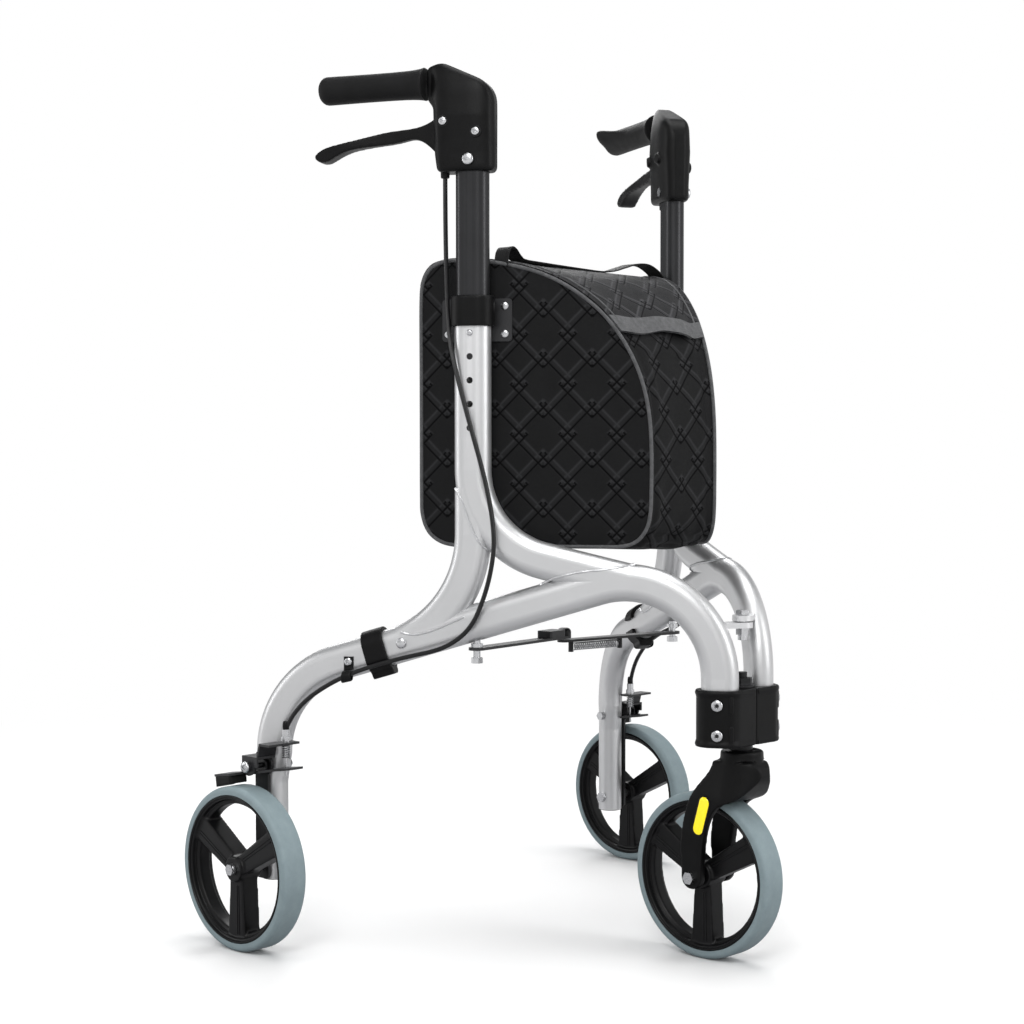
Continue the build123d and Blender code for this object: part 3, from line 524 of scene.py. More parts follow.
def tape_section(width, thick):
    """Section of a flat tape with rounded edges, as (across its thickness, across its width)."""
    out, corner = [], 3
    for centre, start in ((width / 2 - thick / 2, -90), (-width / 2 + thick / 2, 90)):
        for k in range(2 * corner + 1):
            angle = radians(start + 180 * k / (2 * corner))
            out.append((thick / 2 * sin(angle), centre + thick / 2 * cos(angle)))
    return out


def turned_piece(name, origin, axis, profile, material, body, count=40):
    """Solid turned about an axis from a profile of (radius, height)."""
    axis = Vector(axis).normalized()
    side = axis.orthogonal().normalized()
    other = axis.cross(side)
    points = []
    for r, h in profile:
        for k in range(count):
            a = tau * k / count
            points.append(Vector(origin) + axis * h + (side * cos(a) + other * sin(a)) * r)
    return piece(name, points, ring_faces(len(profile), count), material, body, angle=30)


def dome_head(name, centre, axis, radius, height, body, recess="plain"):
    """Domed screw head with a recess: cross, socket or plain."""
    roll, rings, count = 0.4, 15, 48
    axis = Vector(axis).normalized()
    side = Matrix.Rotation(roll, 3, axis) @ axis.orthogonal().normalized()
    other = axis.cross(side)
    points = []
    for i in range(rings + 1):
        share = i / rings
        r = radius * share
        dome = height * (0.45 + 0.55 * sqrt(max(0.0, 1 - share ** 2.4)))
        for k in range(count):
            x, y = r * cos(tau * k / count), r * sin(tau * k / count)
            h = dome
            in_slot = min(abs(x), abs(y)) < radius * 0.13 and max(abs(x), abs(y)) < radius * 0.58
            if recess == "cross" and in_slot:
                h -= height * 0.5
            if recess == "socket" and r < radius * 0.42:
                h -= height * 0.6
            points.append(Vector(centre) + axis * h + side * x + other * y)
    points += [Vector(centre) + (side * cos(tau * k / count) + other * sin(tau * k / count)) * radius
               for k in range(count)]
    made = piece(name, points, ring_faces(rings + 2, count), STEEL, angle=35)
    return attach(weld(made), body)


def rounded(node, material, voxel, passes=5, shape=None):
    """Softened copy of a CAD node, with moulded edge radii; shape moves its points last."""
    source = NODES[node]
    made = add_object(node + "_moulding", source.data.copy())
    remesh = made.modifiers.new("remesh", "REMESH")
    remesh.mode = "VOXEL"
    remesh.voxel_size = voxel
    soften = made.modifiers.new("soften", "SMOOTH")
    soften.factor = 0.5
    soften.iterations = passes
    mesh = evaluated_mesh(made)
    made.modifiers.clear()
    made.data = mesh
    if shape:
        for vertex in mesh.vertices:
            vertex.co = shape(vertex.co.copy())
    dress(mesh, material)
    mesh.update()
    smooth_shade(mesh, 60)
    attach(made, source["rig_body"])
    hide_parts(node)


def to_frame(point, flip):
    """Row point in metres to (s, n, z) of a side frame in millimetres."""
    x, y = point.x * 1000 - HINGE_X, flip * point.y * 1000
    return -x * CS - y * SN, x * SN - y * CS - FRAME_OFFSET, point.z * 1000


# ---- mouldings ----------------------------------------------------------------------
def housing_shape(flip):
    def move(p):
        s, n, z = to_frame(p, flip)
        reach = min(1.0, abs(s - 296) / 35.5)
        n *= (1 - reach ** 2.7) ** (1 / 2.7) if s < 296 else (1 - 0.5 * reach ** 4)
        crown = max(0.0, min(1.0, (z - 922) / 39))
        n *= 1 - 0.5 * crown ** 2.4
        n *= 1 + 0.12 * max(0.0, 1 - abs(z - 902) / 40)
        return at(s, n, z, flip)
    return move


def lever_shape(flip):
    """The lever widens into a flat rounded paddle."""
    def move(p):
        s, n, z = to_frame(p, flip)
        paddle = max(0.0, min(1.0, (s - 385) / 50))
        waist = max(0.0, 1 - abs(s - 372) / 40)
        n *= 1 + 0.75 * paddle * paddle * (3 - 2 * paddle) - 0.18 * waist
        return at(s, n, z, flip)
    return move


def block_shape(flip):
    """Rolled flanges along the top and bottom edges of a head block."""
    centre = at(20, 0, 0, flip)

    def move(p):
        z = p.z * 1000
        near = max(0.0, 1 - min(abs(z - 293), abs(z - 239)) / 5.0)
        away_from = Vector((p.x - centre.x, p.y - centre.y, 0))
        if abs(p.y) < 0.003 or away_from.length < 0.0155:
            return p
        return p + away_from.normalized() * 0.0013 * near * near * (3 - 2 * near)
    return move


for side_name, flip in SIDES:
    rounded(f"housing_{side_name}", PLASTIC, 0.0013, 7, housing_shape(flip))
    rounded(f"brake_lever_{side_name}", PLASTIC, 0.0012, 6, lever_shape(flip))
    rounded(f"collar_{side_name}", PLASTIC, 0.0012, 3)
    rounded(f"hinge_block_{side_name}", PLASTIC, 0.0011, 4, block_shape(flip))
    rounded(f"fold_clip_{side_name}", PLASTIC, 0.001, 3)
    rounded(f"brake_shoe_{side_name}", PLASTIC, 0.001, 3)


def fork_shape(p):
    """The crown is round in plan in front of the stem and full over the wheel."""
    ahead = p.x * 1000 - HINGE_X
    in_disc = p.z > 0.2165 and sqrt(ahead ** 2 + (p.y * 1000) ** 2) < 23.6
    if ahead > -6 and 0.15 < p.z < 0.2195 and not in_disc:
        t = min(1.0, (ahead + 6) / 39)
        p.y *= sqrt(max(0.0, 1 - t ** 2.3)) * 0.9 + 0.1 * (1 - t)
    return p


rounded("caster_fork", PLASTIC, 0.0014, 14, fork_shape)
for node in ("front_rim", "rear_rim_right", "rear_rim_left"):
    rounded(node, RIM_PLASTIC, 0.0013)

# Grip: a turned sleeve that flares at the housing and grows a wing at its inner rear end.
GRIP_TOE = radians(7)
GRIP_RADIUS = 15.3
WING_REACH, WING_ANGLE = 14.5, radians(24)
GRIP_STATIONS = (0.4, 0.7, 1.6, 3.2, 6, 10, 16, 24, 34, 46, 58, 68, 76, 84, 91, 98, 104, 109, 113.5, 117,
                 120, 122.2, 123.4, 124)
GRIP_COUNT = 72


def grip_points(flip):
    up = Vector((0, 0, 1))
    along = Matrix.Rotation(-flip * GRIP_TOE, 3, "Z") @ turned(1, 0, 0, flip)
    inward = up.cross(along) * flip
    inward.normalize()
    if inward.y * flip < 0:
        inward = -inward
    start = at(339, 0, 939, flip)
    points = []
    for t in GRIP_STATIONS:
        base = GRIP_RADIUS + 2.6 * np.exp(-t / 9) - 0.35 * sin(pi * min(1, t / 110))
        if t < 1.6:
            base -= 0.9 * (1.6 - t)
        if t > 117:
            base -= 4.2 * ((t - 117) / 7) ** 2.2
        grow = max(0.0, min(1.0, (t - 58) / 54))
        wing = WING_REACH * grow ** 1.7 * (1 - 0.35 * max(0.0, (t - 116) / 8) ** 2)
        for k in range(GRIP_COUNT):
            a = tau * k / GRIP_COUNT
            off = (a - WING_ANGLE + pi) % tau - pi
            lobe = np.exp(-(off / (0.30 if off > 0 else 0.5)) ** 2)
            r = base + wing * lobe
            points.append(start + along * t / 1000 + (inward * cos(a) + up * sin(a)) * r / 1000)
    return points


for side_name, flip in SIDES:
    faces = ring_faces(len(GRIP_STATIONS), GRIP_COUNT)
    sleeve = weld(piece(f"grip_sleeve_{side_name}", grip_points(flip), faces, RUBBER, angle=50))
    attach(sleeve, f"post_{side_name}")
    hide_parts(f"grip_{side_name}")


def wheel_trim(label, x, y, body):
    """Moulded lips of a rim and paired ridges along its spokes, on both faces."""
    for face, face_name in ((1, "a"), (-1, "b")):
        for radius, lift, thick in ((79.3, 14.6, 1.5), (74.5, 9.4, 0.9)):
            ring = [np.array((x + a, y + face * lift, AXLE_Z + b)) / 1000 for a, b in circle(radius, 96)]
            swept(f"rim_lip_{label}_{int(radius)}_{face_name}", ring, circle(thick / 1000, 8), RIM_PLASTIC,
                  body, closed=True)
        hub = Vector((x, y + face * 11.0, AXLE_Z))
        for turn in (-90, 30, 150):
            out = Vector((cos(radians(turn)), 0, sin(radians(turn))))
            across = Vector((-out.z, 0, out.x))
            for number, offset in enumerate((2.2, 5.2)):
                line = [(hub + out * r + across * offset * (0.85 + r / 240)) / 1000
                        for r in (18, 30, 45, 60, 71.5)]
                swept(f"spoke_ridge_{label}_{turn % 360}_{number}_{face_name}", smooth_path(line, 4),
                      circle(0.00075, 8), RIM_PLASTIC, body)


wheel_trim("front", HINGE_X - CASTER_TRAIL, 0, "front_wheel")
for side_name, flip in SIDES:
    wheel_trim(side_name, at(REAR_LEG_S, 0, 0).x * 1000, -flip * REAR_WHEEL_Y, f"rear_wheel_{side_name}")


# ---- bag ----------------------------------------------------------------------------
# Outline of a side panel, (s, z) in millimetres, anticlockwise from the rear bottom.
PANEL_OUTLINE = [
    (352, 560), (352, 640), (352, 705), (350, 728), (342, 743), (326, 751), (300, 752), (275, 750),
    (252, 746), (225, 739), (197, 727), (172, 711), (150, 692), (130, 667), (115, 640), (105, 612),
    (99, 580), (97, 545), (97, 505), (98, 480), (102, 463), (112, 450), (128, 444), (160, 443),
    (220, 443), (280, 443), (310, 443), (330, 447), (344, 458), (351, 476), (352, 500),
]
OUTLINE = [(p[0], p[1]) for p in smooth_path([(*p, 0) for p in PANEL_OUTLINE], 6, closed=True)]
CENTRE = (226, 590)
PANEL_OUT, PANEL_IN = -20.4, -21.6
PIPING_N, BAND_N, FLAP_N = -20.6, -21.4, -22.6
PANEL_SHARES = (1, 0.985, 0.96, 0.92, 0.86, 0.78, 0.68, 0.56, 0.42, 0.27, 0.12, 0.02)
CLOTH_THICK = 0.0012
WIDTH_STEPS = 40


def panel_depth(s, z, share):
    """Quilted fullness of the panel: pulled in at the piping, flat against the frame."""
    ripple = 0.35 * sin(s / 17 + z / 41) * sin(z / 23 - s / 60) * (1 - share ** 4)
    return 1.5 * (1 - share ** 6) + ripple


for side_name, flip in SIDES:
    points, uv, faces = [], [], []
    count, rings = len(OUTLINE), len(PANEL_SHARES)
    for base, swell in ((PANEL_OUT, 1), (PANEL_IN, -0.6)):
        for share in PANEL_SHARES:
            for edge_s, edge_z in OUTLINE:
                s, z = CENTRE[0] + (edge_s - CENTRE[0]) * share, CENTRE[1] + (edge_z - CENTRE[1]) * share
                points.append(at(s, base + swell * panel_depth(s, z, share), z, flip))
                uv.append((s / 1000, z / 1000))
    other = rings * count
    for first, turn in ((0, flip), (other, -flip)):
        quads = [[first + k for k in face] for face in ring_faces(rings, count)[:-2]]
        middle = list(range(first + (rings - 1) * count, first + rings * count))
        faces += [face[::turn] for face in [*quads, middle]]
    faces += [(k, other + k, other + (k + 1) % count, (k + 1) % count)[::flip] for k in range(count)]
    panel = weld(piece(f"bag_side_{side_name}", points, faces, CLOTH, f"frame_{side_name}", uv, 75))
    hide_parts(f"bag_panel_{side_name}")
    edge = [at(s, PIPING_N, z, flip) for s, z in OUTLINE]
    swept(f"bag_piping_{side_name}", edge, circle(0.0021, 10), PIPING, f"frame_{side_name}", closed=True)


def fan(obj, shares):
    """The piece's placement is baked into its mesh; shares is not used."""
    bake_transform(obj)
    np.array(shares, np.float32)


def sheet_piece(name, grid, thick, uv_of, material):
    """Sheet of even thickness over a grid of points, from the right frame to the left."""
    rows, steps = grid.shape[:2]
    normal = np.cross(np.gradient(grid, axis=1), np.gradient(grid, axis=0))
    normal /= np.maximum(np.linalg.norm(normal, axis=2)[..., None], 1e-12)
    points, uv, shares, faces = [], [], [], []
    size = rows * steps
    for layer, lift in ((0, thick / 2), (1, -thick / 2)):
        for i in range(rows):
            for j in range(steps):
                points.append(grid[i, j] + normal[i, j] * lift)
                uv.append(uv_of(i, j))
                shares.append(j / (steps - 1))
                if i < rows - 1 and j < steps - 1:
                    a = layer * size + i * steps + j
                    quad = (a, a + 1, a + steps + 1, a + steps)
                    faces.append(quad[::-1] if layer else quad)
    rim = [*range(steps), *range(2 * steps - 1, size, steps), *range(size - 2, size - steps - 1, -1),
           *range(size - 2 * steps, 0, -steps)]
    faces += [(b, a, a + size, b + size) for a, b in zip(rim, rim[1:] + rim[:1])]
    made = piece(name, points, faces, material, None, uv, 80)
    fan(made, shares)
    return made


def crossing(name, run, n, bulges, material):
    """Cloth between the side panels along a run of their outline, and the grid that it follows."""
    lengths = [0.0]
    for k, m in zip(run, run[1:]):
        (s, z), (next_s, next_z) = OUTLINE[k], OUTLINE[m]
        lengths.append(lengths[-1] + sqrt((next_s - s) ** 2 + (next_z - z) ** 2) / 1000)
    grid = np.zeros((len(run), WIDTH_STEPS + 1, 3))
    for i, (k, bulge) in enumerate(zip(run, bulges)):
        s, z = OUTLINE[k]
        right, left = np.array(at(s, n, z)), np.array(at(s, n, z, -1))
        for j in range(WIDTH_STEPS + 1):
            u = j / WIDTH_STEPS
            grid[i, j] = right * (1 - u) + left * u + bulge(u)

    def uv_of(i, j):
        right, left = grid[i, 0][1], grid[i, -1][1]
        return float(right + j / WIDTH_STEPS * (left - right)), -lengths[i]
    return sheet_piece(name, grid, CLOTH_THICK, uv_of, material), grid


def nearest_index(s, z):
    return min(range(len(OUTLINE)), key=lambda k: (OUTLINE[k][0] - s) ** 2 + (OUTLINE[k][1] - z) ** 2)


def outline_run(start, end):
    """Indices of the outline points from the one nearest start to the one nearest end."""
    first, last = nearest_index(*start), nearest_index(*end)
    count = len(OUTLINE)
    return [(first + k) % count for k in range((last - first) % count + 1)]


def away(k):
    """Outward direction of the band in the centre plane at an outline point."""
    a, b = OUTLINE[(k - 2) % len(OUTLINE)], OUTLINE[(k + 2) % len(OUTLINE)]
    along = Vector(((b[0] - a[0]) * -CS, 0, b[1] - a[1])).normalized()
    return Vector((-along.z, 0, along.x))


# Folds of the band near its piping: (place across, depth, width, lean).
BAND_CREASES = ((0.09, -1.9, 0.028, 0.00016), (0.9, -1.6, 0.03, -0.00013),
                (0.17, 1.1, 0.035, 0.00022), (0.82, 1.0, 0.04, -0.0002))


def band_bulge(k):
    """The band is drawn in at the front and full below and behind, with folds near its piping."""
    s, z = OUTLINE[k]
    out = np.array(away(k))
    swell = 0.0
    if z < 460 and s > 110:
        swell += 5.5
    if s < 120 and z < 650:
        swell -= 2.6
    if s > 340:
        swell += 3.5

    def move(u):
        crease = 0.0
        for place, depth, width, lean in BAND_CREASES:
            centre = place + lean * (z - 590) + 0.012 * sin(z / 31)
            crease += depth * np.exp(-((u - centre) / width) ** 2)
        crease *= 0.4 + 0.6 * sin(z / 47 + 1.2) ** 2
        ripple = 0.7 * sin(9 * u + z / 55) * sin(z / 38 + 4 * u) + 0.4 * sin(21 * u - z / 19)
        amount = swell * 4 * u * (1 - u) + (crease + ripple) * min(1.0, 14 * u * (1 - u)) - 1.0
        return out * amount / 1000
    return move


def flap_bulge(k, share):
    """The flap sags over the mouth, clears the band at the rear and droops at its front edge."""
    out = np.array(away(k))
    over_band = float(np.clip((OUTLINE[k][0] - 330) / 9, 0, 1))

    def move(u):
        arch = 4 * u * (1 - u)
        sag = -4.5 * arch * sin(pi * min(1, share * 1.5)) * (1 - over_band) + (3.5 * arch + 1.6) * over_band
        wave = 1.0 * sin(13 * u + 5 * share) * sin(4 * share + 5 * u) + 0.5 * sin(23 * u + 9 * share)
        droop = 2.2 * share ** 3 * sin(3.3 * pi * u + 0.5)
        push = 2.2 + 1.2 * share + sag + (wave + droop) * min(1.0, 10 * u * (1 - u))
        hem = -share ** 5 * (4.0 * sin(2.4 * pi * u + 0.9) * arch)
        return out * max(push, 0.9) / 1000 + np.array((0, 0, hem)) / 1000
    return move


band_run = outline_run((165, 704), (340, 745))
band, band_grid = crossing("bag_band", band_run, BAND_N, [band_bulge(k) for k in band_run], CLOTH)
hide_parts("bag_gusset")

# Flap: from the rear top edge over the mouth and down the front to a bound edge.
flap_run = outline_run((351, 725), (133, 670))
bulges = [flap_bulge(k, i / (len(flap_run) - 1)) for i, k in enumerate(flap_run)]
flap, flap_grid = crossing("bag_flap", flap_run, FLAP_N, bulges, FLAP_CLOTH)

# Its binding lies on the last four rows, and its piping along both sides.
BINDING_ROWS, BINDING_THICK = 4.0, 0.0026
last = len(flap_run) - 1
binding_grid = []
for share in np.linspace(0, 1, 6):
    place = last - BINDING_ROWS + BINDING_ROWS * share
    i = min(int(place), last - 1)
    binding_grid.append(flap_grid[i] * (1 - (place - i)) + flap_grid[i + 1] * (place - i))
flap_trims = [sheet_piece("flap_binding", np.array(binding_grid), BINDING_THICK,
                          lambda i, j: (j * 0.006, i * 0.003), PIPING)]
for side_name, column, share in (("right", 2, 2 / WIDTH_STEPS), ("left", -3, 1 - 2 / WIDTH_STEPS)):
    line = [flap_grid[i, column] + np.array(away(flap_run[i])) * 0.0006 for i in range(3, last - 2)]
    trim = swept(f"flap_piping_{side_name}", line, circle(0.0011, 8), PIPING)
    fan(trim, [share] * len(trim.data.vertices))
    flap_trims.append(trim)


def cut_size(grid):
    """Greatest width and length of a sheet in metres, and its area in square metres."""
    steps = np.diff(grid, axis=1)
    widest = float(np.linalg.norm(steps, axis=2).sum(axis=1).max())
    down = np.diff(grid, axis=0)
    longest = float(np.linalg.norm(down, axis=2).sum(axis=0).max())
    area = float(np.linalg.norm(np.cross(steps[:-1], down[:, :-1]), axis=2).sum())
    return (widest, longest), area


cut, area = cut_size(band_grid)
cut, area = cut_size(flap_grid)

# Carry strap across the top, raised in a loop beside each upright.
STRAP = [(14, -134, 744), (13.5, -133.5, 752), (13, -131, 761), (12, -125, 766), (10.5, -117, 764),
         (9, -109, 758), (7, -99, 754.5), (5, -70, 753.5), (4, -35, 752.5), (4, 0, 751.5), (4, 30, 751),
         (5, 50, 753), (7, 68, 758), (9, 86, 763), (11, 104, 763.5), (12, 119, 758), (13, 129, 750),
         (14, 133, 743)]
STRAP_SECTION = tape_section(0.021, 0.0016)
STRAP_HALF = 0.133
strap_line = smooth_path([np.array(p) / 1000 for p in STRAP], 6)
strap = swept("carry_strap", strap_line, STRAP_SECTION, WEBBING, angle=60, up=(1, 0, 0.0001))
fan(strap, [float(np.clip((y + STRAP_HALF) / (2 * STRAP_HALF), 0, 1))
            for _, y, _ in strap_line for _ in STRAP_SECTION])


# ---- brake cables and springs -------------------------------------------------------
ADJUSTER = (-166.0, -289.0)
CABLE_ROUTE = [
    at(318.5, 0, 846), at(318.5, 0, 690), at(300, 20.5, 622), at(257, 20.5, 475),
    at(263, 20.5, 405), at(293, 20.5, 338), at(380, 20.5, 319), at(440, 20.5, 297),
    at(486, 20.5, 264), Vector((ADJUSTER[0], ADJUSTER[1], 241)) / 1000,
]
for side_name, flip in SIDES:
    data = bpy.data.curves.new(f"cable_line_{side_name}", "CURVE")
    data.dimensions = "3D"
    data.bevel_depth = 0.0025
    data.bevel_resolution = 3
    data.use_fill_caps = True
    data.resolution_u = 16
    spline = data.splines.new("NURBS")
    spline.points.add(len(CABLE_ROUTE) - 1)
    for point, (x, y, z) in zip(spline.points, CABLE_ROUTE):
        point.co = (x, flip * y, z, 1)
    spline.order_u = 3
    spline.use_endpoint_u = True
    line = add_object(f"cable_line_{side_name}", data)
    mesh = evaluated_mesh(line)
    bpy.data.objects.remove(line)
    dress(mesh, CABLE_SKIN)
    cable = weld(add_object(f"brake_hose_{side_name}", mesh))
    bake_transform(cable)
    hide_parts(f"brake_cable_{side_name}")


def coil(name, start, end, radius, wire, turns, body=None):
    """Coil spring of round wire between two points."""
    start, end = Vector(start), Vector(end)
    axis = (end - start).normalized()
    side = axis.orthogonal().normalized()
    other = axis.cross(side)
    steps = int(turns * 18)
    path = []
    for i in range(steps + 1):
        t = i / steps
        a = tau * turns * t
        path.append(start + axis * ((end - start).length * t) + (side * cos(a) + other * sin(a)) * radius)
    return swept(name, path, circle(wire, 7), SPRING, body)


FERRULE = [(0.0033, 0), (0.0036, 0.0006), (0.0036, 0.006), (0.0031, 0.009), (0.0027, 0.0095)]
for side_name, flip in SIDES:
    body = f"frame_{side_name}"
    x, y = ADJUSTER[0] / 1000, flip * ADJUSTER[1] / 1000
    spring = coil(f"return_coil_{side_name}", (x, y, 0.2088), (x, y, 0.2246), 0.0042, 0.00055, 6.5)
    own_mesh(spring)
    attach(spring, body)
    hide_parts(f"brake_spring_{side_name}")
    wire = [(x, y, z) for z in (0.190, 0.200, 0.212)]
    swept(f"brake_wire_{side_name}", wire, circle(0.0008, 8), STEEL, body)
    turned_piece(f"cable_ferrule_{side_name}", (x, y, 0.2405), (0, 0, 1), FERRULE, PLASTIC, body)

brace_centre = Vector((HINGE_X - 257, 0, 320.5)) / 1000
eye = at(284, 0, 0)
spring_dir = Vector((eye.x - brace_centre.x, -eye.y, 0)).normalized()
spring_start = brace_centre + spring_dir * 0.0133
brace_coil = coil("brace_coil", spring_start, spring_start + spring_dir * 0.0674, 0.00415, 0.00065, 21,
                  "brace_left")
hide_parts("brace_spring")


# ---- welds --------------------------------------------------------------------------
def surface_of(nodes):
    points, faces = [], []
    for node in nodes:
        mesh = NODES[node].data
        base = len(points)
        points += [v.co.copy() for v in mesh.vertices]
        faces += [tuple(base + i for i in p.vertices) for p in mesh.polygons]
    return BVHTree.FromPolygons(points, faces)


WELD_LINES = [
    ("strut", [(307.5, 508), (301, 499), (295, 487), (290, 473), (284, 459), (277, 447), (270, 440)]),
    ("foot", [(366, 350), (353, 347.5), (340, 349.5), (325, 354.5), (309, 361.5), (294, 368)]),
    ("branch", [(213, 403), (195, 411), (176, 416), (158, 419), (140, 421), (122, 424), (106, 427)]),
]
for side_name, flip in SIDES:
    tree = surface_of([f"{stem}_{side_name}" for stem in ("arch_tube", "upright_tube", "rear_strut")])
    for label, line in WELD_LINES:
        for face, face_name in ((1, "outer"), (-1, "inner")):
            hits = [tree.ray_cast(at(s, face * 70, z, flip), turned(0, -face, 0, flip))[0]
                    for s, z, _ in smooth_path([(*p, 0) for p in line], 10)]
            path = [hit for hit in hits if hit]
            if len(path) > 5:
                wave = [0.8 + 0.35 * abs(sin(1.35 * k)) + 0.1 * sin(0.6 * k) for k in range(len(path))]
                swept(f"weld_{label}_{face_name}_{side_name}", path, circle(0.0013, 8), WELD,
                      f"frame_{side_name}", scale=wave)

# ---- fasteners, reflectors, caps and clips ------------------------------------------
# Heads on each side in millimetres: (name, s, z, radius, height), (name, s, z) and (name, z).
HOUSING_SCREWS = (("pivot", 316, 896, 4.3, 2.2), ("front", 280, 884, 4.3, 2.2),
                  ("clamp", 288, 855, 6.2, 4.0))
PLATE_RIVETS = (("top", 257, 702), ("low", 257, 672), ("rear", 320, 672))
BLOCK_BOLTS = (("top", 281), ("low", 249.5))
# Profiles: millimetres beyond the screw for its seat, (radius, height) in metres for the others.
SCREW_SEAT = [(2.0, 0), (2.0, 1.4), (1.5, 1.9), (0.3, 1.9), (0.2, 1.3)]
BLOCK_SOCKET = [(0.0023, 0), (0.0023, 0.0002), (0.0016, 0.0003)]
CABLE_GUIDE = [(0.0041, 0), (0.0047, 0.0008), (0.0052, 0.013)]
LEG_PLUG = [(0.0105, 0), (0.0138, 0.0006), (0.0148, 0.0018), (0.0149, 0.003), (0.0130, 0.0032),
            (0.0130, 0.008)]
CLIP_SECTION = tape_section(0.011, 0.0016)
CLIP_S = 425
CLIP_LINE = [(14.4, 322), (14.4, 310), (16.6, 307), (21, 306.6), (24.6, 303), (24.3, 297.6), (20.5, 295.6),
             (16.4, 297), (14.8, 301.5)]
BRAKE_PIVOT = (HINGE_X - 429, 326.8, 201)
AXLE_END_Y = REAR_WHEEL_Y + 15.3
UP = (0, 0, 1)

for side_name, flip in SIDES:
    body, post = f"frame_{side_name}", f"post_{side_name}"
    out, outboard = turned(0, 1, 0, flip), (0, -flip, 0)
    for tag, s, z, r, h in HOUSING_SCREWS:
        kind = "plain" if tag == "clamp" else "cross"
        face = at(s, 18.4, z, flip)
        dome_head(f"housing_screw_{tag}_{side_name}", face, out, r / 1000, h / 1000, post, kind)
        if kind == "cross":
            seat = [((r + wide) / 1000, high / 1000) for wide, high in SCREW_SEAT]
            turned_piece(f"screw_seat_{tag}_{side_name}", at(s, 17.2, z, flip), out, seat, PLASTIC, post)
    turned_piece(f"cable_guide_{side_name}", at(318.5, 0, 838, flip), UP, CABLE_GUIDE, PLASTIC, post)
    for tag, s, z in PLATE_RIVETS:
        dome_head(f"plate_rivet_{tag}_{side_name}", at(s, -17.3, z, flip), out, 0.0042, 0.0022, body)
    for tag, z in BLOCK_BOLTS:
        face, seat = at(20, 21.0, z, flip), at(20, 21.9, z, flip)
        dome_head(f"block_bolt_{tag}_{side_name}", face, out, 0.0059, 0.0026, body, "socket")
        turned_piece(f"block_socket_{tag}_{side_name}", seat, out, BLOCK_SOCKET, COATED, body, 6)
    leg = at(REAR_LEG_S, 0, 0, flip)
    pivot = Vector((BRAKE_PIVOT[0], -flip * BRAKE_PIVOT[1], BRAKE_PIVOT[2])) / 1000
    axle_end = (leg.x, flip * -AXLE_END_Y / 1000, AXLE_Z / 1000)
    dome_head(f"brake_pivot_cap_{side_name}", pivot, outboard, 0.0062, 0.003, body, "cross")
    dome_head(f"axle_cap_{side_name}", axle_end, outboard, 0.0062, 0.0050, body)
    turned_piece(f"leg_plug_{side_name}", (leg.x, leg.y, 0.0715), UP, LEG_PLUG, PLASTIC, body)
    clip_line = smooth_path([at(CLIP_S, n, z, flip) for n, z in CLIP_LINE], 5)
    swept(f"cable_clip_{side_name}", clip_line, CLIP_SECTION, PLASTIC, body, up=turned(1, 0, -0.25, flip))
    dome_head(f"clip_screw_{side_name}", at(CLIP_S, 15.2, 316.5, flip), out, 0.0044, 0.003, body, "cross")
    dome_head(f"gate_bolt_{side_name}", at(365, 13.0, 338, flip), out, 0.0058, 0.0042, body)


def pill(name, centre, along, out, size, material, body):
    """Domed pill-shaped lens; size is its length, width and height."""
    length, width, height = size
    along, out = Vector(along).normalized(), Vector(out).normalized()
    across = along.cross(out)
    rings, count = 7, 44
    points = []
    for i in range(rings):
        angle = i / (rings - 1) * pi / 2
        r = width / 2 - (1 - cos(angle)) * height * 1.1
        for k in range(count):
            a = tau * k / count
            straight = (length - width) / 2 * (1 if cos(a) > 0 else -1)
            points.append(Vector(centre) + along * (r * cos(a) + straight) + across * r * sin(a)
                          + out * (height * sin(angle)))
    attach(weld(piece(name, points, ring_faces(rings, count), material, angle=50)), body)


LENS_SLOPE = (12, 0, 42)
LENS_SIZE, LENS_SEAT_SIZE = (0.043, 0.0135, 0.0018), (0.046, 0.0165, 0.0009)
SLOT_SIZE = (0.019, 0.0052, 0.0009)
for side_name, flip in SIDES:
    centre, outboard = Vector((HINGE_X - 30, flip * -30.9, 158.5)) / 1000, (0, -flip, 0)
    pill(f"reflector_{side_name}", centre, LENS_SLOPE, outboard, LENS_SIZE, LENS, "caster")
    pill(f"reflector_seat_{side_name}", centre, LENS_SLOPE, outboard, LENS_SEAT_SIZE, PLASTIC, "caster")

for side_name, flip in SIDES:
    tree = surface_of([f"hinge_block_{side_name}"])
    out = turned(-0.55, 0.84, 0, flip)
    for tag, z in BLOCK_BOLTS:
        hit = tree.ray_cast(at(4.2, 18.6, z, flip) + out * 0.03, -out)[0]
        if hit:
            seat = hit - out * 0.0002
            pill(f"block_slot_{tag}_{side_name}", seat, UP, out, SLOT_SIZE, PLASTIC, f"frame_{side_name}")


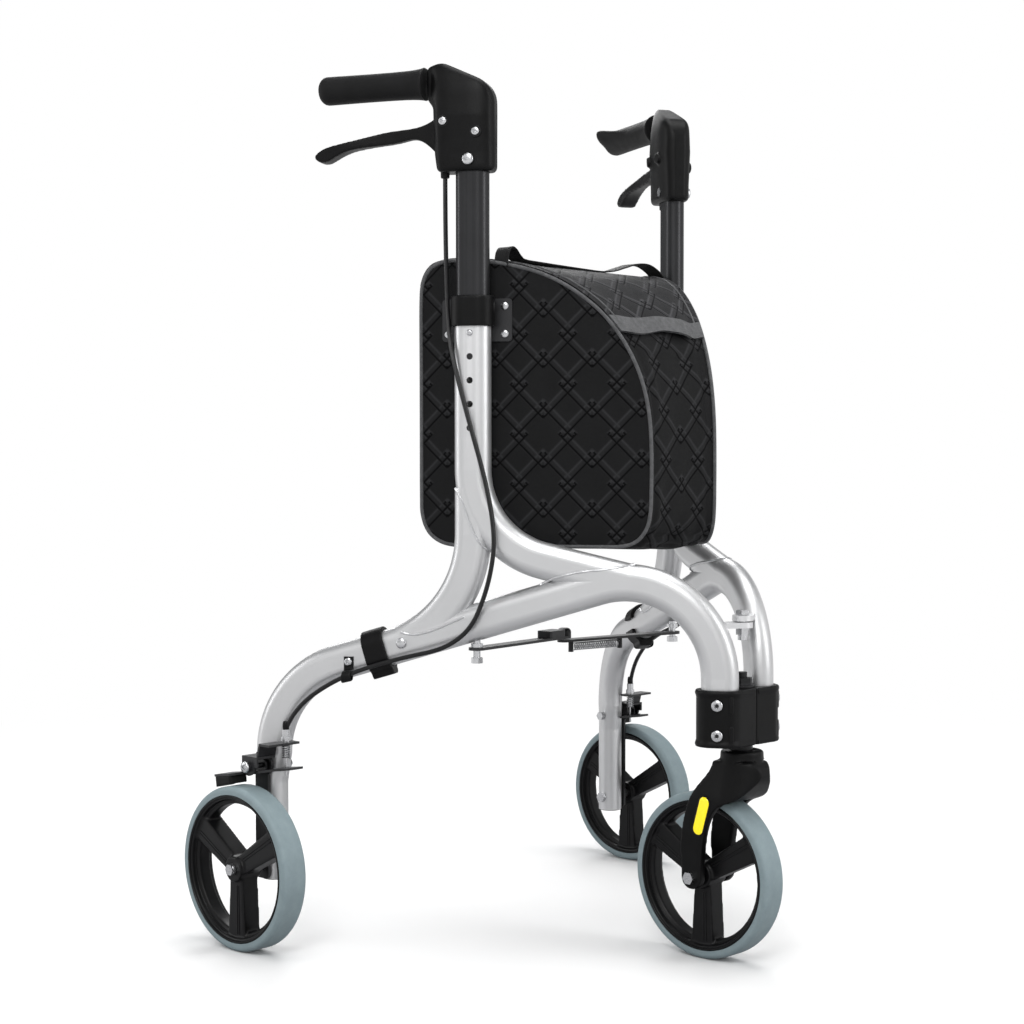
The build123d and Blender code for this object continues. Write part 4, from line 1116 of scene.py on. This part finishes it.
# ---- studio -------------------------------------------------------------------------
def plain_floor():
    """Pale floor for the camera, darker for the light that it throws back, fading to white."""
    sh = Shader("studio_floor", Roughness=0.75)
    seen = sh.node("ShaderNodeLightPath").outputs["Is Camera Ray"]
    sh.colour(sh.blend_colour(seen, (0.42, 0.42, 0.43), (0.88, 0.88, 0.88)))
    distance = sh.node("ShaderNodeVectorMath", {0: sh.object_xyz()}, operation="LENGTH").outputs["Value"]
    fade = sh.node("ShaderNodeMapRange", {"Value": distance, "From Min": 0.75, "From Max": 2.0},
                   interpolation_type="SMOOTHSTEP").outputs[0]
    glow = sh.node("ShaderNodeEmission").outputs[0]
    mix = sh.node("ShaderNodeMixShader", {0: fade, 1: sh.principled.outputs[0], 2: glow})
    sh.link(mix.outputs[0], sh.tree.nodes["Material Output"].inputs["Surface"])
    mesh = bpy.data.meshes.new("studio_floor")
    mesh.from_pydata([(-30, -30, 0), (30, -30, 0), (30, 30, 0), (-30, 30, 0)], [], [(0, 1, 2, 3)])
    mesh.materials.append(sh.material)
    made = add_object("studio_floor", mesh)
    made.location.z = -0.0003


def softbox(name, place, target, size, power):
    data = bpy.data.lights.new(name, "AREA")
    data.shape = "RECTANGLE"
    data.size, data.size_y = size
    data.energy = power
    made = add_object(name, data)
    made.location = place
    made.rotation_euler = (Vector(target) - Vector(place)).to_track_quat("-Z", "Y").to_euler()


def studio_world():
    """White surround for the camera; softer light with darker flanks for the object."""
    world = bpy.data.worlds.new("studio")
    bpy.context.scene.world = world
    world.use_nodes = True
    net = Nodes(world.node_tree)
    seen = net.tree.nodes["Background"]
    seen.inputs["Color"].default_value = (1, 1, 1, 1)
    place = net.node("ShaderNodeTexCoord").outputs["Generated"]
    place = net.node("ShaderNodeMapping", {"Vector": place, "Rotation": (0, 0, radians(38))}).outputs[0]
    patches = net.node("ShaderNodeTexNoise", {"Vector": place, "Scale": 1.15, "Detail": 0}).outputs[0]
    ramp = net.node("ShaderNodeValToRGB", {0: patches})
    stops = ((0.36, (0.16, 0.165, 0.17, 1)), (0.62, (0.9, 0.9, 0.9, 1)))
    for element, (stop, grey) in zip(ramp.color_ramp.elements, stops):
        element.position, element.color = stop, grey
    felt = net.node("ShaderNodeBackground", {"Color": ramp.outputs[0], "Strength": 0.9}).outputs[0]
    to_camera = net.node("ShaderNodeLightPath").outputs["Is Camera Ray"]
    mix = net.node("ShaderNodeMixShader", {0: to_camera, 1: felt, 2: seen.outputs[0]})
    net.link(mix.outputs[0], net.tree.nodes["World Output"].inputs["Surface"])


plain_floor()
studio_world()
softbox("key", (1.9, -2.9, 2.9), (0, 0, 0.45), (1.5, 1.5), 62)
softbox("fill", (3.0, 0.9, 1.6), (0, 0, 0.5), (0.9, 2.2), 26)
softbox("rim", (-2.4, 1.8, 2.4), (0, 0, 0.6), (2.0, 1.6), 48)
softbox("left", (-2.6, -2.2, 1.5), (0, 0, 0.5), (0.8, 2.4), 24)
softbox("top", (0.2, 0.1, 3.6), (0, 0, 0), (2.2, 2.2), 60)
bpy.context.scene.view_settings.view_transform = "Standard"

camera_data = bpy.data.cameras.new("camera")
camera_data.lens = 66.94
camera_data.sensor_width = 36
camera_data.shift_x, camera_data.shift_y = -0.0338, 0.0220
camera = add_object("camera", camera_data)
camera.location = (1.466, -1.606, 0.540)
camera.rotation_euler = (radians(87.65), 0, radians(43.26))
bpy.context.scene.camera = camera
